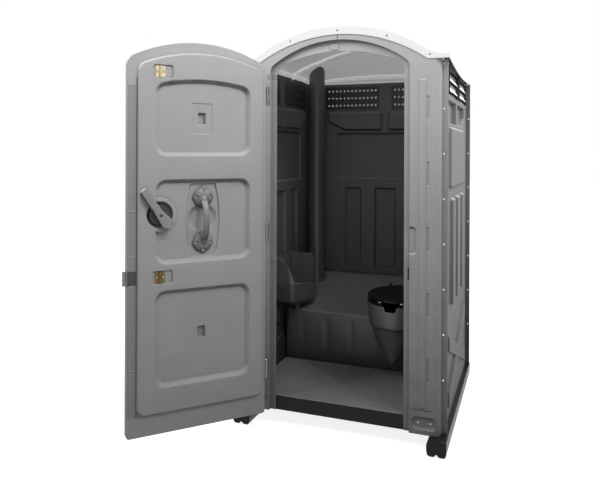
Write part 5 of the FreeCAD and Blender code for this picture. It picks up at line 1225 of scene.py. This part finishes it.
    def channel(self, cabin: "Cabin") -> None:
        """Lay the capping strip along the free edge, in lengths with pale joints.

        Args:
            cabin: The cabin, for its finishes.
        """
        lengths, joints, seam = bmesh.new(), bmesh.new(), bmesh.new()
        start, end = self.strip
        for foot, head in zip(self.strip_ends, self.strip_ends[1:]):
            self.plate(lengths, (start, foot + self.strip_gap), (end, head - self.strip_gap), self.strip_sheet)
        for height in self.strip_ends[1:-1]:
            self.plate(joints, (start + self.joint, height - self.joint),
                       (end - self.joint, height + self.joint), self.joint_rise)
        self.plate(seam, (self.seam, self.strip_ends[0]), (start, self.strip_ends[-1] + self.seam_top),
                   self.seam_rise)
        low, high = self.box("hasp_tab")
        self.plate(seam, (start, low.z), (end, high.z), self.hasp_rise)
        for name, shape, slot in (("edge_strip", lengths, "door_plastic"),
                                  ("edge_strip_joints", joints, "door_plastic"),
                                  ("edge_strip_seam", seam, "dark_plastic")):
            piece = Piece.link(name, shape)
            piece.data.transform(self.place)
            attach(piece, "door")
            cabin.finish(piece, slot, name)
        log.info("edge strip laid in %d lengths", len(self.strip_ends) - 1)

    def plate(self, form: bmesh.types.BMesh, low: tuple[float, float], high: tuple[float, float],
              rise: float) -> None:
        """Add a small plate with rounded edges on the free edge's strip.

        Args:
            form: Where it goes.
            low: Its lowest corner, along the leaf and up.
            high: Its highest corner.
            rise: How thick it is.
        """
        size = Vector((high[0] - low[0], rise, high[1] - low[1]))
        part = bmesh.new()
        Piece.block(part, size, Vector((low[0], self.strip_seat, low[1])) + size / 2)
        Piece.bevel(part, part.edges[:], min(size) * 0.3)
        Piece.absorb(form, part)

    def handle(self, cabin: "Cabin") -> None:
        """Mould the grab handle in one piece with its rounded flanges.

        Args:
            cabin: The cabin, for its finishes.
        """
        low, high = self.box("grab_handle")
        heads = self.heads("grab_handle_screws")
        middle = (low.x + high.x) / 2
        form = bmesh.new()
        for head in heads:
            self.blob(form, (head.x, low.y, head.z), self.pad)
        for end, way in ((low.z, 1), (high.z, -1)):
            self.blob(form, (middle, low.y, end + way * self.flange[2]), self.flange)
            self.blob(form, (middle, low.y, end + way * (self.flange[2] + self.neck[2] / 2)), self.neck)
        self.grip(form, low, high)
        bmesh.ops.bisect_plane(form, geom=Piece.everything(form), plane_co=(0, low.y, 0), plane_no=(0, -1, 0),
                               clear_outer=True)
        rims = [edge for edge in form.edges if edge.is_boundary]
        bmesh.ops.holes_fill(form, edges=rims, sides=0)
        bmesh.ops.recalc_face_normals(form, faces=form.faces)
        piece = Piece.link("grab_handle_moulded", form)
        Piece.melt(piece, self.grain, self.rounds)
        self.countersink(piece, heads, low.y)
        piece.data.transform(self.place)
        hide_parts("grab_handle")
        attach(piece, "door")
        cabin.finish(piece, cabin.slots["grab_handle"])
        log.info("grab handle moulded, %d faces", len(piece.data.polygons))


@dataclass
class RoofRibs:
    """Ridges under the translucent roof: two folded ribs and the doubled rim along the walls."""

    fold: tuple[Point, ...] = ((-0.57, 0.19, 2.08), (-0.41, 0.337, 2.2), (-0.25, 0.4, 2.25), (0.0, 0.42, 2.28),
                               (0.25, 0.4, 2.25), (0.41, 0.337, 2.2), (0.57, 0.19, 2.08))
    rim: tuple[Point, ...] = ((-0.56, -0.5, 2.088), (-0.56, 0.575, 2.088), (0.56, 0.575, 2.088),
                              (0.56, -0.5, 2.088))
    eye: float = 1.9
    rib_size: tuple[float, float] = (0.02, 0.007)
    rim_size: tuple[float, float] = (0.016, 0.004)
    fold_steps: int = 8
    rim_steps: int = 24
    bite: float = 0.0015
    inset: float = 0.9

    def under(self, aims: Sequence[Vector]) -> list[tuple[Vector, Vector]]:
        """Find the roof's inner face towards each aim.

        Args:
            aims: Points to look at from inside the cabin.

        Returns:
            Places on the face, each with the face's normal.
        """
        mesh = frame["nodes"]["roof_dome"].data
        roof = BVHTree.FromPolygons([vert.co for vert in mesh.vertices],
                                    [poly.vertices for poly in mesh.polygons])
        found = []
        for aim in aims:
            start = Vector((aim.x * self.inset, aim.y * self.inset, self.eye))
            place, normal, _, _ = roof.ray_cast(start, (aim - start).normalized())
            if place:
                found.append((place, normal))
        return found

    def ridge(self, form: bmesh.types.BMesh, track: list[tuple[Vector, Vector]],
              size: tuple[float, float]) -> None:
        """Sweep a flat oval along the roof's inner face.

        Args:
            form: Where it goes.
            track: Places and normals.
            size: Half width and half height of the oval.
        """
        face = before = None
        for step, (place, normal) in enumerate(track):
            place = place + normal * (size[1] - self.bite)
            ahead = track[min(step + 1, len(track) - 1)][0] - track[max(step - 1, 0)][0]
            ahead.normalize()
            side = ahead.cross(normal).normalized()
            turn = Matrix((side, normal, ahead)).transposed()
            if face is None:
                ring = bmesh.ops.create_circle(form, cap_ends=True, segments=16, radius=1.0)["verts"]
                bmesh.ops.scale(form, vec=(size[0], size[1], 1.0), verts=ring)
                bmesh.ops.rotate(form, cent=(0, 0, 0), matrix=turn, verts=ring)
                bmesh.ops.translate(form, vec=place, verts=ring)
                face = next(face for face in form.faces if set(face.verts) == set(ring))
            else:
                face = Door.extend(form, face)
                centre = face.calc_center_median()
                bmesh.ops.rotate(form, cent=centre, matrix=turn @ before.inverted(), verts=list(face.verts))
                bmesh.ops.translate(form, vec=place - centre, verts=list(face.verts))
            before = turn

    @staticmethod
    def along(ends: Sequence[Point], count: int) -> list[Vector]:
        """Divide straight runs between points.

        Args:
            ends: Where the runs start and end.
            count: Steps in each run.

        Returns:
            The points.
        """
        runs = []
        for first, last in zip(ends, ends[1:]):
            start, end = Vector(first), Vector(last)
            runs += [start.lerp(end, step / count) for step in range(count)]
        return runs + [Vector(ends[-1])]

    def build(self, cabin: "Cabin") -> None:
        """Lay the ribs and the rim.

        Args:
            cabin: The cabin, for its finishes.
        """
        form = bmesh.new()
        for flip in (1, -1):
            ends = [(x, y * flip, z) for x, y, z in self.fold]
            self.ridge(form, self.under(self.along(ends, self.fold_steps)), self.rib_size)
        self.ridge(form, self.under(self.along(self.rim, self.rim_steps)), self.rim_size)
        bmesh.ops.recalc_face_normals(form, faces=form.faces)
        piece = Piece.link("roof_ribs", form)
        for poly in piece.data.polygons:
            poly.use_smooth = True
        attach(piece, "cabin")
        cabin.finish(piece, "white_plastic", "roof_ribs")
        log.info("roof ribs laid")


@dataclass
class Strike:
    """A small plate on the stop face of the right jamb, level with the hasp, with a black plate painted on it as
    the shade inside its slot.
    """

    middle: Point = (0.391, -0.592, 0.917)
    plate: tuple[float, float] = (0.016, 0.086)
    slot: tuple[float, float] = (0.009, 0.066)
    plate_rise: float = 0.0016
    slot_rise: float = 0.00208
    edge: float = 0.0005

    def build(self, cabin: "Cabin") -> None:
        """Fit the plate and its dark slot.

        Args:
            cabin: The cabin, for its finishes.
        """
        for name, (width, height), proud, slot in (
                ("strike_plate", self.plate, self.plate_rise, "frame_plastic"),
                # Painted shade: a black plate stands for the dark inside of the slot
                ("strike_slot", self.slot, self.slot_rise, "black_plastic")):
            form = bmesh.new()
            Piece.block(form, (width, proud, height), Vector(self.middle) - Vector((0, proud / 2, 0)))
            Piece.bevel(form, form.edges[:], self.edge)
            piece = Piece.link(name, form)
            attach(piece, "cabin")
            cabin.finish(piece, slot)
        log.info("strike fitted")


SMOOTH_NODES = (
    "roof_dome", "waste_tank", "bowl_liner", "urinal", "urinal_strainer", "urinal_drain_pipe",
    "vent_pipe", "vent_pipe_foot", "vent_cap", "door_inner_skin", "door_outer_skin", "skid_left",
    "skid_right", "paper_roll_near", "paper_roll_far", "paper_bracket", "paper_spindle",
    "hinge_frame_leaves", "hinge_door_leaves", "hinge_pins", "latch_spindle", "lid_hinge_pin",
    "lid_hinge_posts", "front_corner_rivets", "back_corner_rivets", "roof_lip_rivets",
)
# Face size and evening rounds of the thick mouldings
SOFT_NODES = {
    "latch_boss": (0.0016, 4),
    "outside_turn_knob": (0.0014, 4),
    "outside_pull_handle": (0.0014, 5),
    "toilet_seat": (0.0022, 6),
    "toilet_lid": (0.0022, 5),
    "lid_bumpers": (0.0006, 3),
}


class Cabin:
    """The whole cabin: the CAD pieces in their finishes, and the pieces made here."""

    def __init__(self) -> None:
        """Make every finish once."""
        self.materials = {slot: finish.build() for slot, finish in FINISHES.items()}
        self.slots = {entry["node"]: entry["material_slot"] for entry in frame["record"]["subparts"]}
        self.own = {name: finish.build() for name, finish in OWN_FINISHES.items()}

    def paint(self, piece: bpy.types.Object, slot: str, name: str) -> None:
        """Give a piece the finish of its own name, or else of its slot."""
        piece.data.materials.clear()
        piece.data.materials.append(self.own.get(name, self.materials[slot]))

    def finish(self, piece: bpy.types.Object, slot: str, name: str = "") -> None:
        """Give a new piece the finish of its own name, or else of its slot."""
        self.paint(piece, slot, name)

    def mouldings(self) -> None:
        """Put smooth mouldings in the place of the faceted ones."""
        for node in SMOOTH_NODES:
            crease = Moulding.ROUND if node == "urinal" else Moulding.CREASE
            self.finish(Moulding.smooth(node, crease), self.slots[node], node)
        for node, (grain, rounds) in SOFT_NODES.items():
            self.finish(Moulding.soften(node, grain, rounds), self.slots[node], node)
        log.info("%d mouldings smoothed", len(SMOOTH_NODES) + len(SOFT_NODES))

    def dress(self) -> None:
        """Give each CAD node the finish of its slot."""
        for node, slot in self.slots.items():
            self.paint(frame["nodes"][node], slot, node)
            log.info("%s dressed in %s", node, slot)


def main() -> None:
    """Build the scene."""
    logging.basicConfig(level=logging.INFO, format="%(message)s")
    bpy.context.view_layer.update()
    cabin = Cabin()
    cabin.dress()
    cabin.mouldings()
    FloorMat().build(cabin)
    Vents().build(cabin)
    door = Door()
    door.handle(cabin)
    door.lever(cabin)
    door.channel(cabin)
    RoofRibs().build(cabin)
    Strike().build(cabin)
    Studio().build()


if __name__ == "__main__":
    main()
